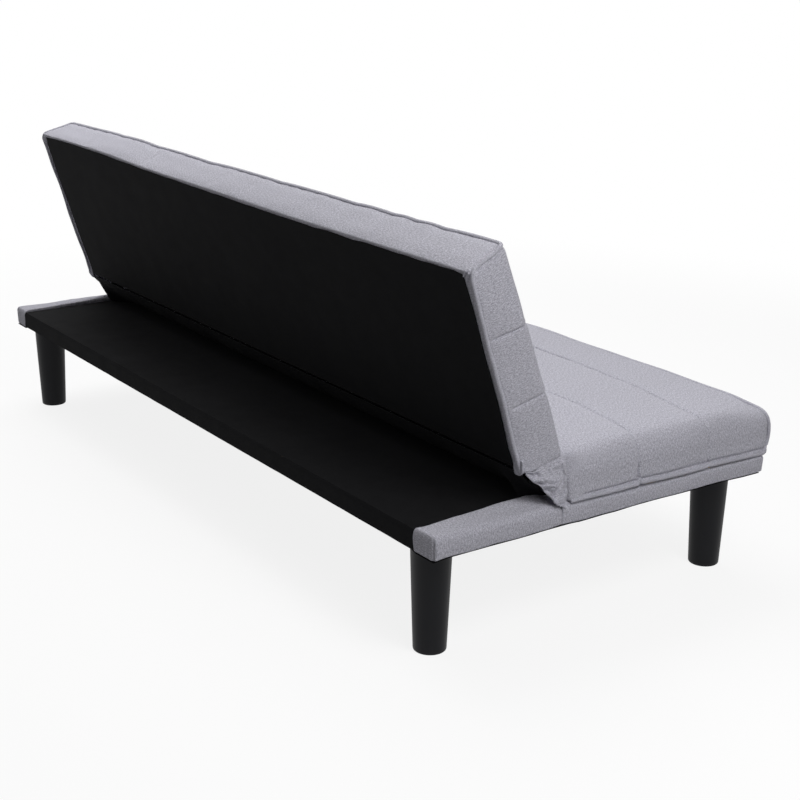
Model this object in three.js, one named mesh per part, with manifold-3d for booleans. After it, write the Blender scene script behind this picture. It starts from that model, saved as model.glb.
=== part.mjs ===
// Click clack sofa bed in its sofa position, in millimetres.
// X runs along the sofa (+X at a sitter's left), +Y to its back, +Z up, with the origin on the floor
// below the middle of its outline. The backrest turns about the hinge line down to a flat bed.
import * as THREE from 'three';
import { mergeVertices } from 'three/addons/utils/BufferGeometryUtils.js';
import Module from 'manifold-3d';

const wasm = await Module();
wasm.setup();

// Overall sizes
const length = 1680; // over the side covers
const depth = 756; // from the seat's front to the base's rear face
const legHeight = 190;
const uprightDegrees = 72.5; // turn of the backrest from flat bed to sofa position

// Clearances and sheet thicknesses
const seam = 0.3; // between pieces that touch
const overrun = 5; // by which a cutting tool passes its face
const weld = 0.0001; // distance within which a shape's points are one
const coverThickness = 2.2; // cloth alone, on a cover's inner face
const coverPadding = 5.2; // cloth over foam, on a cover's top and outer faces
const clothThickness = 1.2;
const plateThickness = 3;

// Base frame
const frontOverhang = 33; // of the seat beyond the base's front cover
const sideCoverWidth = 54;
const coverEdge = { outer: 9, inner: 4 }; // radii of the covers' top edges
const railHeight = 31;
const crossRailWidth = 28;
const stretcherWidth = 45;
const coverSeamSetback = 8; // from the seat's rear face back to the seam between the side covers
const deckClothLap = 22; // of the deck cloth over the middle rail

// Legs, which carry a moulded-in stud
const leg = { topRadius: 31, footRadius: 25, edge: 3, rim: 6, stud: 4, studReach: 21 };
const legInset = { side: 76, rear: 48, front: 53 }; // leg centre from the cover's faces
const cornerBlock = { size: 80, corner: 32, height: 22, play: 0.5 };

// Seat springs
const batten = { width: 20, height: 20 };
const spring = { wire: 3.6, loopWidth: 48, bends: 12, arch: 6, count: 4, endLap: 10 };
const bendShares = [[0.32, 0.09], [0.5, 0.5], [0.32, 0.91]]; // a bend's points, across and along

// Hinge line and hinge
const pivotFromRear = 238;
const pivotRise = 50; // above the base's covers
const hub = { radius: 20, clearance: 2, toothDepth: 3.4, toothHalfDegrees: 9 };
const lockDegrees = [0, 36, uprightDegrees]; // flat, lounging and sofa positions
const rivet = { shank: 4, head: 8, headThickness: 2.5 };
const bolt = { shank: 3, head: 6, headThickness: 3.2, reach: 20 };
const holePlay = 0.3;
const platePlay = 0.5; // between the base arm and the back arm
const baseArm = { front: 28, rear: 112, corner: 6, neckFront: 14, neckRear: 12, edge: 5 };
const baseBoltInsets = [80, 22]; // from the base arm's rear end
const backArm = { hub: 16, reach: 150, corner: 6, cheek: 78, cheekRise: 6, shoulder: 20 };
const backBoltInsets = [64, 18]; // from the back arm's far end
const pawl = { lever: 28, tipDegrees: -20, leverDegrees: -60, play: 0.4, boss: 7, stud: 3, nose: 3.4 };
const studHead = 4.6;
const leaf = { post: 2.5, thickness: 0.9, width: 2.4, lift: 34, eye: 0.9 };

// Seat cushion
const seat = { thickness: 78, crown: 8, channel: 3, channelHalf: 14, swell: 3 };
const seatFront = { swell: 12, tuck: 16, drop: 9 }; // its lower edge hangs before the front cover
const seatEase = { end: 30, rear: 40, front: 24, top: 34 };
const seatInset = 4; // of the seat's ends from the side covers' faces
const seatChannelShares = [0.33, 0.665]; // of the seat's depth, from its rear face
const seatFootShare = 0.33; // of its height, below which its channels fade
const seatSwellShare = 0.9; // of its height, up to which its front swells
const seatTuckShare = 0.3; // of its height, up to which its front draws in
const seatColumnShares = [-0.8, -0.4, 0, 0.4, 0.8]; // grid lines, of its half length
const seatRowShares = [0.2, 0.45]; // grid lines, of its height
const bandShares = [0.25, 0.5, 0.75]; // grid lines, of a band between channels

// Backrest, flat: Y runs up the backrest from the hinge line and Z from its rear to its front face
const back = { bottom: 6, top: 387, front: 32, flatClearance: 1, crown: 6, channel: 4, channelHalf: 14 };
const backEase = { end: 20, edge: 12 };
const backInset = 20; // of the backrest's lower ends from the side covers' faces
const backTaper = { top: 14, frontTop: 6, zone: 60 }; // how much each end draws in, ever more upwards
const backSlant = { rise: 23, zone: 70 }; // of the lower end, from its front edge to its rear edge
const backFall = { drop: 6, zone: 60 }; // of the top, from its front edge to its rear edge
const backChannelShares = [0.333, 0.665]; // of the backrest's length, from its lower end
const backColumnShares = [-0.9, -0.45, 0, 0.45, 0.9]; // grid lines, of its half length
const backFadeShare = 0.33; // of its thickness, over which a channel fades towards the rear
const backClothInset = { end: 22, low: 2, high: 14 }; // from the rear face's edges
const backFrame = { low: 42, high: 356, railWidth: 30, railHeight: 33, board: 3, stileWidth: 30 };
const stileSpacing = 520;
const pocket = { front: 24, beyond: 8, play: 1 }; // round the hinge, in the backrest's lower end

// Cloths that bridge the hinge line
const gusset = { top: 27, tip: 9, fold: 5, folds: 3, tipWidth: 9, drop: 2 };
const gussetFoldShares = [0.15, 0.85]; // of a fold's rise and fall, at the top and at the tip
const flap = { end: 8, sag: 9, wave: 2, waves: 5, drop: 1.2 };
const crease = { depth: 32, width: 12, end: 8, start: 8 };

// Steps round arcs
const arcSteps = 6;
const holeSteps = 12;
const legSteps = 20;
const wireSides = 5;

// Places that follow from the sizes
const halfLength = length / 2;
const rearY = depth / 2;
const frontY = frontOverhang - depth / 2;
const railBottom = legHeight + clothThickness + seam;
const railTop = railBottom + railHeight;
const coverTop = railTop + seam + coverPadding;
const coverInnerX = halfLength - sideCoverWidth;
const crossHalf = coverInnerX - seam;
const sideRailX = [coverInnerX + coverThickness + seam, halfLength - coverPadding - seam];
const sideRailY = [frontY + coverPadding + seam, rearY - coverPadding - seam];
const railZ = [railBottom, railTop];
const pivot = new THREE.Vector3(0, rearY - pivotFromRear, coverTop + pivotRise);
const seatRearY = pivot.y - hub.radius - hub.clearance;
const seatBottom = coverTop + seam;
const seatTop = seatBottom + seat.thickness;
const rearRailY = [rearY - clothThickness - seam - crossRailWidth, rearY - clothThickness - seam];
const frontRailY = [sideRailY[0], sideRailY[0] + crossRailWidth];
const middleRailY = [seatRearY - coverThickness - hub.clearance - crossRailWidth * 2, 0];
middleRailY[1] = middleRailY[0] + crossRailWidth;
const baseBoltPlaces = baseBoltInsets.map((inset) => baseArm.rear - inset); // behind the pivot
const backBoltPlaces = backBoltInsets.map((inset) => backArm.reach - inset); // up the backrest from the pivot
const baseArmX = [coverInnerX - seam - plateThickness, coverInnerX - seam];
const backArmX = [baseArmX[0] - platePlay - plateThickness, baseArmX[0] - platePlay];
const backRailX = [backArmX[0] - seam - backFrame.railWidth, backArmX[0] - seam];
const backRear = back.flatClearance - pivotRise;
const backCushionRear = backRear + clothThickness + seam;
const backHalfLength = halfLength - backInset;
const upright = THREE.MathUtils.degToRad(uprightDegrees);

// Materials
const finish = (color, roughness, metalness = 0) =>
  new THREE.MeshStandardMaterial({ color, roughness, metalness });
const greyFabric = finish(0xa9a9b1, 0.95);
const blackCloth = finish(0x202124, 0.9);
const timber = finish(0xc9a878, 0.75);
const hardboard = finish(0x8f6b45, 0.8);
const blackPlastic = finish(0x141415, 0.35);
const paintedSteel = finish(0x2a2b2d, 0.45, 0.6);
const brightSteel = finish(0x9a9ca0, 0.4, 0.9);

const sofa = new THREE.Group();
const backrest = new THREE.Group();
backrest.position.copy(pivot);
backrest.rotation.x = upright;
sofa.add(backrest);

const sides = [
  { name: 'left', sign: 1 },
  { name: 'right', sign: -1 },
];
const ends = ['front', 'rear'];

// Adds a named piece to a group
function piece(group, name, geometry, material) {
  const mesh = new THREE.Mesh(geometry, material);
  mesh.name = name;
  group.add(mesh);
  return mesh;
}

// A range of X on the side that a sign names
const onSide = (range, sign) => (sign > 0 ? range : [-range[1], -range[0]]);
const acrossX = (half) => [-half, half];
const smooth = (value) => THREE.MathUtils.smoothstep(value, 0, 1);
const share = (value, low, high) => THREE.MathUtils.clamp((value - low) / (high - low), 0, 1);

// Solids for joining and cutting
function toSolid(geometry) {
  const bare = geometry.clone();
  bare.deleteAttribute('normal');
  bare.deleteAttribute('uv');
  const merged = mergeVertices(bare, weld);
  const vertProperties = merged.attributes.position.array;
  const triVerts = Uint32Array.from(merged.index.array);
  return new wasm.Manifold(new wasm.Mesh({ numProp: 3, vertProperties, triVerts }));
}

function fromSolid(solid) {
  const { vertProperties, triVerts } = solid.getMesh();
  const geometry = new THREE.BufferGeometry();
  geometry.setAttribute('position', new THREE.BufferAttribute(vertProperties, 3));
  geometry.setIndex(new THREE.BufferAttribute(triVerts, 1));
  geometry.computeVertexNormals();
  return geometry;
}

function cut(geometry, ...tools) {
  return fromSolid(tools.reduce((solid, tool) => solid.subtract(toSolid(tool)), toSolid(geometry)));
}

function join(...geometries) {
  return fromSolid(geometries.map(toSolid).reduce((solid, other) => solid.add(other)));
}

// A box between ranges of X, Y and Z
function block(x, y, z) {
  const geometry = new THREE.BoxGeometry(x[1] - x[0], y[1] - y[0], z[1] - z[0]);
  return geometry.translate((x[0] + x[1]) / 2, (y[0] + y[1]) / 2, (z[0] + z[1]) / 2);
}

// An outline in Y and Z, extruded over a range of X
function plate(outline, x, curveSegments = arcSteps) {
  const options = { depth: x[1] - x[0], bevelEnabled: false, curveSegments };
  const geometry = new THREE.ExtrudeGeometry(outline, options);
  const [alongX, alongY, alongZ] = [0, 1, 2].map((axis) => new THREE.Vector3().setComponent(axis, 1));
  geometry.applyMatrix4(new THREE.Matrix4().makeBasis(alongY, alongZ, alongX));
  return geometry.translate(x[0], 0, 0);
}

// An outline in X and Z, extruded over a range of Y
function runY(outline, y) {
  const options = { depth: y[1] - y[0], bevelEnabled: false, curveSegments: arcSteps };
  return new THREE.ExtrudeGeometry(outline, options).rotateX(Math.PI / 2).translate(0, y[1], 0);
}

// An outline in X and Y, extruded over a range of Z
function slab(outline, z) {
  const options = { depth: z[1] - z[0], bevelEnabled: false, curveSegments: arcSteps };
  return new THREE.ExtrudeGeometry(outline, options).translate(0, 0, z[0]);
}

// A round bar along X
function barX(radius, x, y, z, steps = holeSteps) {
  const geometry = new THREE.CylinderGeometry(radius, radius, x[1] - x[0], steps).rotateZ(Math.PI / 2);
  return geometry.translate((x[0] + x[1]) / 2, y, z);
}

// A turned piece about a line along X: its profile lists distance along X, then radius
function turnedX(profile, y, z, sign) {
  const points = profile.map(([along, radius]) => new THREE.Vector2(radius, along));
  const geometry = new THREE.LatheGeometry(points, holeSteps).rotateZ(-Math.PI / 2);
  if (sign < 0) {
    geometry.rotateY(Math.PI);
  }
  return geometry.translate(0, y, z);
}

function circleHole(x, y, radius) {
  const path = new THREE.Path();
  path.absarc(x, y, radius, 0, Math.PI * 2, true);
  return path;
}

// A closed outline, counterclockwise so that its holes turn the other way
function polygon(points) {
  const corners = points.map(([x, y]) => new THREE.Vector2(x, y));
  return new THREE.Shape(THREE.ShapeUtils.isClockWise(corners) ? corners.reverse() : corners);
}

// Grid stops from low to high, with one more inside each eased edge
const easeStop = 2 - Math.SQRT2; // of the ease, halfway round its arc
function stops(low, high, easeLow, easeHigh, inside) {
  const first = easeLow ? [low, low + easeStop * easeLow, low + easeLow] : [low];
  const last = easeHigh ? [high - easeHigh, high - easeStop * easeHigh, high] : [high];
  const free = inside.filter((stop) => stop > first.at(-1) && stop < last[0]);
  return [...first, ...free, ...last];
}

// A box on grid stops, its edges eased by quarter ellipses, then swollen and drawn in by shape(),
// which gets each point and the direction in which the surface faces there
function softBox(grid, ease, shape) {
  const axes = ['x', 'y', 'z'];
  const counts = axes.map((axis) => grid[axis].length - 1);
  const boxed = new THREE.BoxGeometry(1, 1, 1, ...counts);
  boxed.deleteAttribute('normal');
  boxed.deleteAttribute('uv');
  const geometry = mergeVertices(boxed, weld);
  const places = geometry.attributes.position;
  for (let index = 0; index < places.count; index += 1) {
    const inner = new THREE.Vector3();
    const facing = new THREE.Vector3();
    const radii = new THREE.Vector3();
    axes.forEach((axis, number) => {
      const step = Math.round((places.getComponent(index, number) + 0.5) * counts[number]);
      const value = grid[axis][step];
      const [easeLow, easeHigh] = ease[axis];
      inner[axis] = THREE.MathUtils.clamp(value, grid[axis][0] + easeLow, grid[axis].at(-1) - easeHigh);
      radii[axis] = value < inner[axis] ? easeLow : easeHigh;
      facing[axis] = radii[axis] ? (value - inner[axis]) / radii[axis] : 0;
    });
    const reach = Math.max(Math.abs(facing.x), Math.abs(facing.y), Math.abs(facing.z));
    facing.normalize().multiplyScalar(reach);
    const point = inner.add(facing.clone().multiply(radii));
    shape(point, facing);
    places.setXYZ(index, point.x, point.y, point.z);
  }
  geometry.computeVertexNormals();
  return geometry;
}

// A thin closed sheet over a surface that takes two shares
function sheet(surface, columns, rows, thickness) {
  const boxed = new THREE.BoxGeometry(1, 1, 1, columns, rows, 1);
  boxed.deleteAttribute('normal');
  boxed.deleteAttribute('uv');
  const geometry = mergeVertices(boxed, weld);
  const places = geometry.attributes.position;
  const nudge = 0.001;
  for (let index = 0; index < places.count; index += 1) {
    const across = places.getX(index) + 0.5;
    const along = places.getY(index) + 0.5;
    const point = surface(across, along);
    const slopeAcross = surface(across + nudge, along).sub(surface(across - nudge, along));
    const slopeAlong = surface(across, along + nudge).sub(surface(across, along - nudge));
    const normal = slopeAcross.cross(slopeAlong).normalize();
    point.addScaledVector(normal, places.getZ(index) * thickness);
    places.setXYZ(index, point.x, point.y, point.z);
  }
  geometry.computeVertexNormals();
  return geometry;
}

// The same shape on the other side of the sofa
function mirrored(geometry) {
  const copy = geometry.clone();
  copy.scale(-1, 1, 1);
  const order = copy.index.array;
  for (let first = 0; first < order.length; first += 3) {
    [order[first], order[first + 1]] = [order[first + 1], order[first]];
  }
  copy.computeVertexNormals();
  return copy;
}

// Legs: a tapered foot with its stud, through the dust cloth into a corner block
const legPlace = (sign, end) => ({
  x: sign * (halfLength - legInset.side),
  y: end === 'rear' ? rearY - legInset.rear : frontY + legInset.front,
});

function legGeometry() {
  const top = legHeight - seam;
  const profile = new THREE.Path();
  profile.moveTo(0, 0);
  profile.lineTo(leg.footRadius - leg.edge, 0);
  profile.quadraticCurveTo(leg.footRadius, 0, leg.footRadius, leg.edge);
  profile.lineTo(leg.topRadius, top - leg.rim);
  profile.lineTo(leg.topRadius, top);
  profile.lineTo(leg.stud, top);
  profile.lineTo(leg.stud, top + leg.studReach);
  profile.lineTo(0, top + leg.studReach);
  return new THREE.LatheGeometry(profile.getPoints(3), legSteps).rotateX(Math.PI / 2);
}

function cornerBlockOutline(sign, end) {
  const place = legPlace(sign, end);
  const toRail = end === 'rear' ? 1 : -1;
  const railFace = end === 'rear' ? rearRailY[0] - seam : frontRailY[1] + seam;
  const outerX = sign * crossHalf;
  const innerX = outerX - sign * cornerBlock.size;
  const farY = railFace - toRail * cornerBlock.size;
  const outline = polygon([
    [outerX, railFace],
    [innerX, railFace],
    [innerX, farY + toRail * (cornerBlock.size - cornerBlock.corner)],
    [outerX - sign * cornerBlock.corner, farY],
    [outerX, farY],
  ]);
  outline.holes.push(circleHole(place.x, place.y, leg.stud + cornerBlock.play));
  return outline;
}

function buildLegs() {
  for (const { name, sign } of sides) {
    for (const end of ends) {
      const place = legPlace(sign, end);
      const foot = piece(sofa, `${end}_leg_${name}`, legGeometry(), blackPlastic);
      foot.position.set(place.x, place.y, 0);
      const corner = slab(cornerBlockOutline(sign, end), [railBottom, railBottom + cornerBlock.height]);
      piece(sofa, `${end}_corner_block_${name}`, corner, timber);
    }
  }
}

// Base frame
const boltHole = (x, y, z) => barX(bolt.shank + holePlay, x, y, z);
const baseBoltZ = railBottom + railHeight / 2;
const baseBoltX = [baseArmX[0] - seam - bolt.headThickness, sideRailX[0] + bolt.reach];

function baseBoltHoles(sign) {
  const through = onSide([baseArmX[0] - overrun, baseBoltX[1] + holePlay], sign);
  return baseBoltPlaces.map((place) => boltHole(through, pivot.y + place, baseBoltZ));
}

function buildBaseFrame() {
  for (const { name, sign } of sides) {
    const rail = block(onSide(sideRailX, sign), sideRailY, railZ);
    piece(sofa, `base_side_rail_${name}`, cut(rail, ...baseBoltHoles(sign)), timber);
  }
  piece(sofa, 'base_front_rail', block(acrossX(crossHalf), frontRailY, railZ), timber);
  piece(sofa, 'base_middle_rail', block(acrossX(crossHalf), middleRailY, railZ), timber);
  piece(sofa, 'base_rear_rail', block(acrossX(crossHalf), rearRailY, railZ), timber);
  const stretcherY = [middleRailY[1] + seam, rearRailY[0] - seam];
  piece(sofa, 'base_stretcher', block(acrossX(stretcherWidth / 2), stretcherY, railZ), timber);
}

// Seat springs: zigzag wires on two battens
function wireGeometry(points) {
  const extrudePath = new THREE.CatmullRomCurve3(points, false, 'catmullrom', 0.5);
  const steps = (points.length - 1) * 2;
  return new THREE.ExtrudeGeometry(roundSection(spring.wire / 2, wireSides), { steps, extrudePath });
}

function roundSection(radius, sidesRound) {
  const corners = Array.from({ length: sidesRound }, (_, index) => {
    const angle = (index / sidesRound) * Math.PI * 2;
    return new THREE.Vector2(radius * Math.cos(angle), radius * Math.sin(angle));
  });
  return new THREE.Shape(corners);
}

const battenTop = railBottom + batten.height;
const frontBattenY = [frontRailY[1] + seam, frontRailY[1] + seam + batten.width];
const rearBattenY = [middleRailY[0] - seam - batten.width, middleRailY[0] - seam];

function springPoints(x) {
  const low = battenTop + seam + spring.wire / 2;
  const start = frontBattenY[1] - spring.endLap;
  const end = rearBattenY[0] + spring.endLap;
  const pitch = (end - start) / spring.bends;
  const points = [new THREE.Vector3(x - spring.loopWidth / 2, start, low)];
  for (let bend = 0; bend < spring.bends; bend += 1) {
    const turn = bend % 2 ? -1 : 1;
    for (const [across, along] of bendShares) {
      const y = start + pitch * (bend + along);
      const rise = spring.arch * Math.sin(Math.PI * share(y, start, end));
      points.push(new THREE.Vector3(x + turn * across * spring.loopWidth, y, low + rise));
    }
  }
  points.push(new THREE.Vector3(x + spring.loopWidth / 2, end, low));
  return points;
}

function buildSprings() {
  const battenZ = [railBottom, battenTop];
  const battenX = acrossX(crossHalf - cornerBlock.size - seam);
  piece(sofa, 'spring_batten_front', block(battenX, frontBattenY, battenZ), timber);
  piece(sofa, 'spring_batten_rear', block(battenX, rearBattenY, battenZ), timber);
  for (let number = 0; number < spring.count; number += 1) {
    const x = ((number + 0.5) / spring.count - 0.5) * 2 * crossHalf;
    piece(sofa, `seat_spring_${number + 1}`, wireGeometry(springPoints(x)), brightSteel);
  }
}

// Base covers: padded cloth over the rails, open underneath
function traceCoverTop(shape, inner, outer) {
  const turn = Math.sign(outer - inner);
  shape.lineTo(inner, coverTop - coverEdge.inner);
  shape.quadraticCurveTo(inner, coverTop, inner + turn * coverEdge.inner, coverTop);
  shape.lineTo(outer - turn * coverEdge.outer, coverTop);
  shape.quadraticCurveTo(outer, coverTop, outer, coverTop - coverEdge.outer);
  shape.lineTo(outer, legHeight);
}

function coverOutline(sign) {
  const [inner, outer] = [sign * coverInnerX, sign * halfLength];
  const [innerWall, outerWall] = [sign * coverThickness, sign * coverPadding];
  const shape = new THREE.Shape();
  shape.moveTo(inner, railBottom);
  traceCoverTop(shape, inner, outer);
  shape.lineTo(outer - outerWall, legHeight);
  shape.lineTo(outer - outerWall, coverTop - coverPadding);
  shape.lineTo(inner + innerWall, coverTop - coverPadding);
  shape.lineTo(inner + innerWall, railBottom);
  shape.closePath();
  return shape;
}

// The whole section of a side cover, for its closed end
function coverEndOutline(sign) {
  const shape = new THREE.Shape();
  shape.moveTo(sign * coverInnerX, legHeight);
  traceCoverTop(shape, sign * coverInnerX, sign * halfLength);
  shape.closePath();
  return shape;
}

// The front cover's section in Y and Z, turned over the front rail's top
function frontCoverOutline() {
  const shape = new THREE.Shape();
  shape.moveTo(frontY, legHeight);
  shape.lineTo(frontY + coverPadding, legHeight);
  shape.lineTo(frontY + coverPadding, coverTop - coverPadding);
  shape.lineTo(frontRailY[1], coverTop - coverPadding);
  shape.lineTo(frontRailY[1], coverTop);
  shape.lineTo(frontY + coverEdge.outer, coverTop);
  shape.quadraticCurveTo(frontY, coverTop, frontY, coverTop - coverEdge.outer);
  shape.closePath();
  return shape;
}

function buildBaseCovers() {
  const seamY = seatRearY + coverSeamSetback;
  for (const { name, sign } of sides) {
    const rearRun = runY(coverOutline(sign), [seamY + seam, rearY]);
    const rearEnd = runY(coverEndOutline(sign), [rearY - coverPadding, rearY]);
    const rearCover = cut(join(rearRun, rearEnd), ...baseBoltHoles(sign));
    piece(sofa, `rear_side_cover_${name}`, rearCover, greyFabric);
    const frontRun = runY(coverOutline(sign), [frontY, seamY]);
    const frontEnd = runY(coverEndOutline(sign), [frontY, frontY + coverPadding]);
    piece(sofa, `front_side_cover_${name}`, join(frontRun, frontEnd), greyFabric);
  }
  piece(sofa, 'front_cover', plate(frontCoverOutline(), acrossX(crossHalf)), greyFabric);
}

function buildBaseCloths() {
  const deckZ = railTop + seam;
  const deckOutline = polygon([
    [middleRailY[1] - deckClothLap, deckZ],
    [rearY - clothThickness, deckZ],
    [rearY - clothThickness, legHeight],
    [rearY, legHeight],
    [rearY, deckZ + clothThickness],
    [middleRailY[1] - deckClothLap, deckZ + clothThickness],
  ]);
  const armNotchY = [pivot.y - baseArm.neckFront - holePlay, pivot.y + baseArm.neckRear + holePlay];
  const armNotchZ = [deckZ - overrun, deckZ + clothThickness + overrun];
  const notches = sides.map(({ sign }) =>
    block(onSide([baseArmX[0] - holePlay, crossHalf + overrun], sign), armNotchY, armNotchZ));
  piece(sofa, 'deck_cloth', cut(plate(deckOutline, acrossX(crossHalf)), ...notches), blackCloth);

  const dustX = halfLength - coverPadding - seam;
  const dustOutline = polygon([
    [-dustX, sideRailY[0]],
    [dustX, sideRailY[0]],
    [dustX, sideRailY[1]],
    [-dustX, sideRailY[1]],
  ]);
  for (const { sign } of sides) {
    for (const end of ends) {
      const place = legPlace(sign, end);
      dustOutline.holes.push(circleHole(place.x, place.y, leg.stud + cornerBlock.play));
    }
  }
  piece(sofa, 'dust_cloth', slab(dustOutline, [legHeight, legHeight + clothThickness]), blackCloth);
}

// Seat cushion
function bandCrown(value, edges) {
  for (let band = 1; band < edges.length; band += 1) {
    if (value <= edges[band]) {
      const middle = (edges[band - 1] + edges[band]) / 2;
      const half = (edges[band] - edges[band - 1]) / 2;
      return 1 - ((value - middle) / half) ** 4;
    }
  }
  return 0;
}

const channelDip = (value, places, half) =>
  Math.max(...places.map((place) => Math.max(0, 1 - Math.abs(value - place) / half)));

function bandStops(edges, places, half) {
  const inBands = edges.slice(1).flatMap((edge, band) =>
    bandShares.map((part) => edges[band] + part * (edge - edges[band])));
  const atChannels = places.flatMap((place) => [place - half, place, place + half]);
  return [...inBands, ...atChannels].sort((a, b) => a - b);
}

function seatCushion() {
  const front = -depth / 2 + seatFront.swell;
  const endX = halfLength - seatInset - seat.swell;
  const channels = seatChannelShares
    .map((part) => seatRearY + part * (front - seatRearY))
    .sort((a, b) => a - b);
  const edges = [front, ...channels, seatRearY];
  const inside = bandStops(edges, channels, seat.channelHalf);
  const grid = {
    x: stops(-endX, endX, seatEase.end, seatEase.end, seatColumnShares.map((part) => part * endX)),
    y: stops(front, seatRearY, seatEase.front, seatEase.rear, inside),
    z: stops(seatBottom, seatTop, 0, seatEase.top,
      seatRowShares.map((part) => seatBottom + part * seat.thickness)),
  };
  const ease = {
    x: [seatEase.end, seatEase.end],
    y: [seatEase.front, seatEase.rear],
    z: [0, seatEase.top],
  };
  return softBox(grid, ease, (point, facing) => {
    const rise = share(point.z, seatBottom, seatTop);
    const free = smooth(share(rise, 0, seatFootShare));
    const low = (1 - share(rise, 0, seatTuckShare)) ** 2;
    const crown = bandCrown(point.y, edges) * seat.crown * facing.z ** 2;
    const swell = seat.swell * Math.sin(Math.PI * rise) * facing.x ** 2;
    const dip = channelDip(point.y, channels, seat.channelHalf) * seat.channel * free;
    const forward = Math.max(0, -facing.y) ** 2;
    point.addScaledVector(facing, crown + swell - dip * (1 - facing.y ** 2));
    point.y -= forward * seatFront.swell * Math.sin(Math.PI * share(rise, 0, seatSwellShare));
    point.y += forward * seatFront.tuck * low;
    point.z -= forward ** 2 * seatFront.drop * low;
  });
}

// Backrest cushion: foam and cover round the frame, open at the back
function backCushion() {
  const middle = (back.front + backCushionRear) / 2;
  const channels = backChannelShares.map((part) => back.bottom + part * (back.top - back.bottom));
  const edges = [back.bottom, ...channels, back.top];
  const inside = bandStops(edges, channels, back.channelHalf);
  const grid = {
    x: stops(-backHalfLength, backHalfLength, backEase.end, backEase.end,
      backColumnShares.map((part) => part * backHalfLength)),
    y: stops(back.bottom, back.top, backEase.edge, backEase.edge, inside),
    z: stops(backCushionRear, back.front, 0, backEase.edge, [middle]),
  };
  const ease = {
    x: [backEase.end, backEase.end],
    y: [backEase.edge, backEase.edge],
    z: [0, backEase.edge],
  };
  return softBox(grid, ease, (point, facing) => {
    const up = share(point.y, back.bottom, back.top);
    const forward = share(point.z, backCushionRear, back.front);
    const crown = bandCrown(point.y, edges) * back.crown * Math.max(0, facing.z) ** 2;
    const fade = smooth(share(forward, 0, backFadeShare));
    const dip = channelDip(point.y, channels, back.channelHalf) * back.channel * fade;
    point.addScaledVector(facing, crown - dip * (1 - facing.y ** 2));
    const endPart = share(Math.abs(point.x), backHalfLength - backTaper.zone, backHalfLength);
    point.x -= Math.sign(point.x) * endPart * up ** 2 * (backTaper.top + backTaper.frontTop * forward);
    const lowPart = 1 - share(point.y, back.bottom, back.bottom + backSlant.zone);
    point.y += lowPart * backSlant.rise * (1 - share(point.z, backCushionRear, back.front - backEase.edge));
    point.y -= share(point.y, back.top - backFall.zone, back.top) * backFall.drop * (1 - forward);
  });
}

const recessFront = backRear + clothThickness + backFrame.railHeight + backFrame.board + seam * 3;
const recessX = backArmX[1] + seam;

function backPockets() {
  const tools = [];
  const behind = backRear - overrun;
  tools.push(block(acrossX(recessX), [backFrame.low, backFrame.high], [behind, recessFront]));
  const rivetReach = rivet.headThickness + pocket.play;
  const pocketX = [backArmX[0] - seam - rivetReach, coverInnerX + rivetReach];
  for (const { sign } of sides) {
    const x = onSide(pocketX, sign);
    tools.push(block(x, [-backArm.cheek, backArm.cheek + pocket.beyond], [behind, pocket.front]));
    tools.push(block(x, [-backArm.cheek, backArm.reach + pocket.beyond], [behind, recessFront]));
  }
  return tools;
}

function buildCushions() {
  piece(sofa, 'seat_cushion', seatCushion(), greyFabric);
  piece(backrest, 'back_cushion', cut(backCushion(), ...backPockets()), greyFabric);
}

// Backrest frame, in the cushion's recess
const backFrameZ = [backCushionRear, backCushionRear + backFrame.railHeight];
const backBoltZ = (backFrameZ[0] + backFrameZ[1]) / 2;
const backBoltX = [backRailX[1] - bolt.reach, backArmX[1] + seam + bolt.headThickness];

function buildBackFrame() {
  const low = backFrame.low + seam;
  const high = backFrame.high - seam;
  for (const { name, sign } of sides) {
    const holes = backBoltPlaces.map((place) =>
      boltHole(onSide([backBoltX[0] - holePlay, backBoltX[1]], sign), place, backBoltZ));
    const rail = block(onSide(backRailX, sign), [low, high], backFrameZ);
    piece(backrest, `back_side_rail_${name}`, cut(rail, ...holes), timber);
    const stileX = onSide([stileSpacing / 2, stileSpacing / 2 + backFrame.stileWidth], sign);
    const stileY = [low + backFrame.railWidth + seam, high - backFrame.railWidth - seam];
    piece(backrest, `back_stile_${name}`, block(stileX, stileY, backFrameZ), timber);
  }
  const crossX = acrossX(backRailX[0] - seam);
  piece(backrest, 'back_bottom_rail', block(crossX, [low, low + backFrame.railWidth], backFrameZ), timber);
  piece(backrest, 'back_top_rail', block(crossX, [high - backFrame.railWidth, high], backFrameZ), timber);
  const boardZ = [backFrameZ[1] + seam, backFrameZ[1] + seam + backFrame.board];
  piece(backrest, 'back_board', block(acrossX(backRailX[1]), [low, high], boardZ), hardboard);
  piece(backrest, 'back_cloth', slab(backClothOutline(), [backRear, backRear + clothThickness]), blackCloth);
}

// The cloth over the backrest's rear face, narrower towards the top as the cushion is
function backClothOutline() {
  const low = back.bottom + backSlant.rise + backClothInset.low;
  const high = back.top - backClothInset.high;
  const half = backHalfLength - backClothInset.end;
  const corners = [low, (low + high) / 2, high].map((y) =>
    [half - backTaper.top * share(y, back.bottom, back.top) ** 2, y]);
  return polygon([...corners, ...corners.toReversed().map(([x, y]) => [-x, y])]);
}

// Click clack hinge: the base arm's notched hub, the back arm, and the pawl that drops into a notch
const tipAngle = THREE.MathUtils.degToRad(pawl.tipDegrees);
const leverAngle = THREE.MathUtils.degToRad(pawl.leverDegrees);
const along = (angle, distance) =>
  new THREE.Vector2(distance * Math.cos(angle), distance * Math.sin(angle));
const pawlTip = along(tipAngle, hub.radius + pawl.play);
const pawlStud = pawlTip.clone().add(along(leverAngle, pawl.lever));

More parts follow.
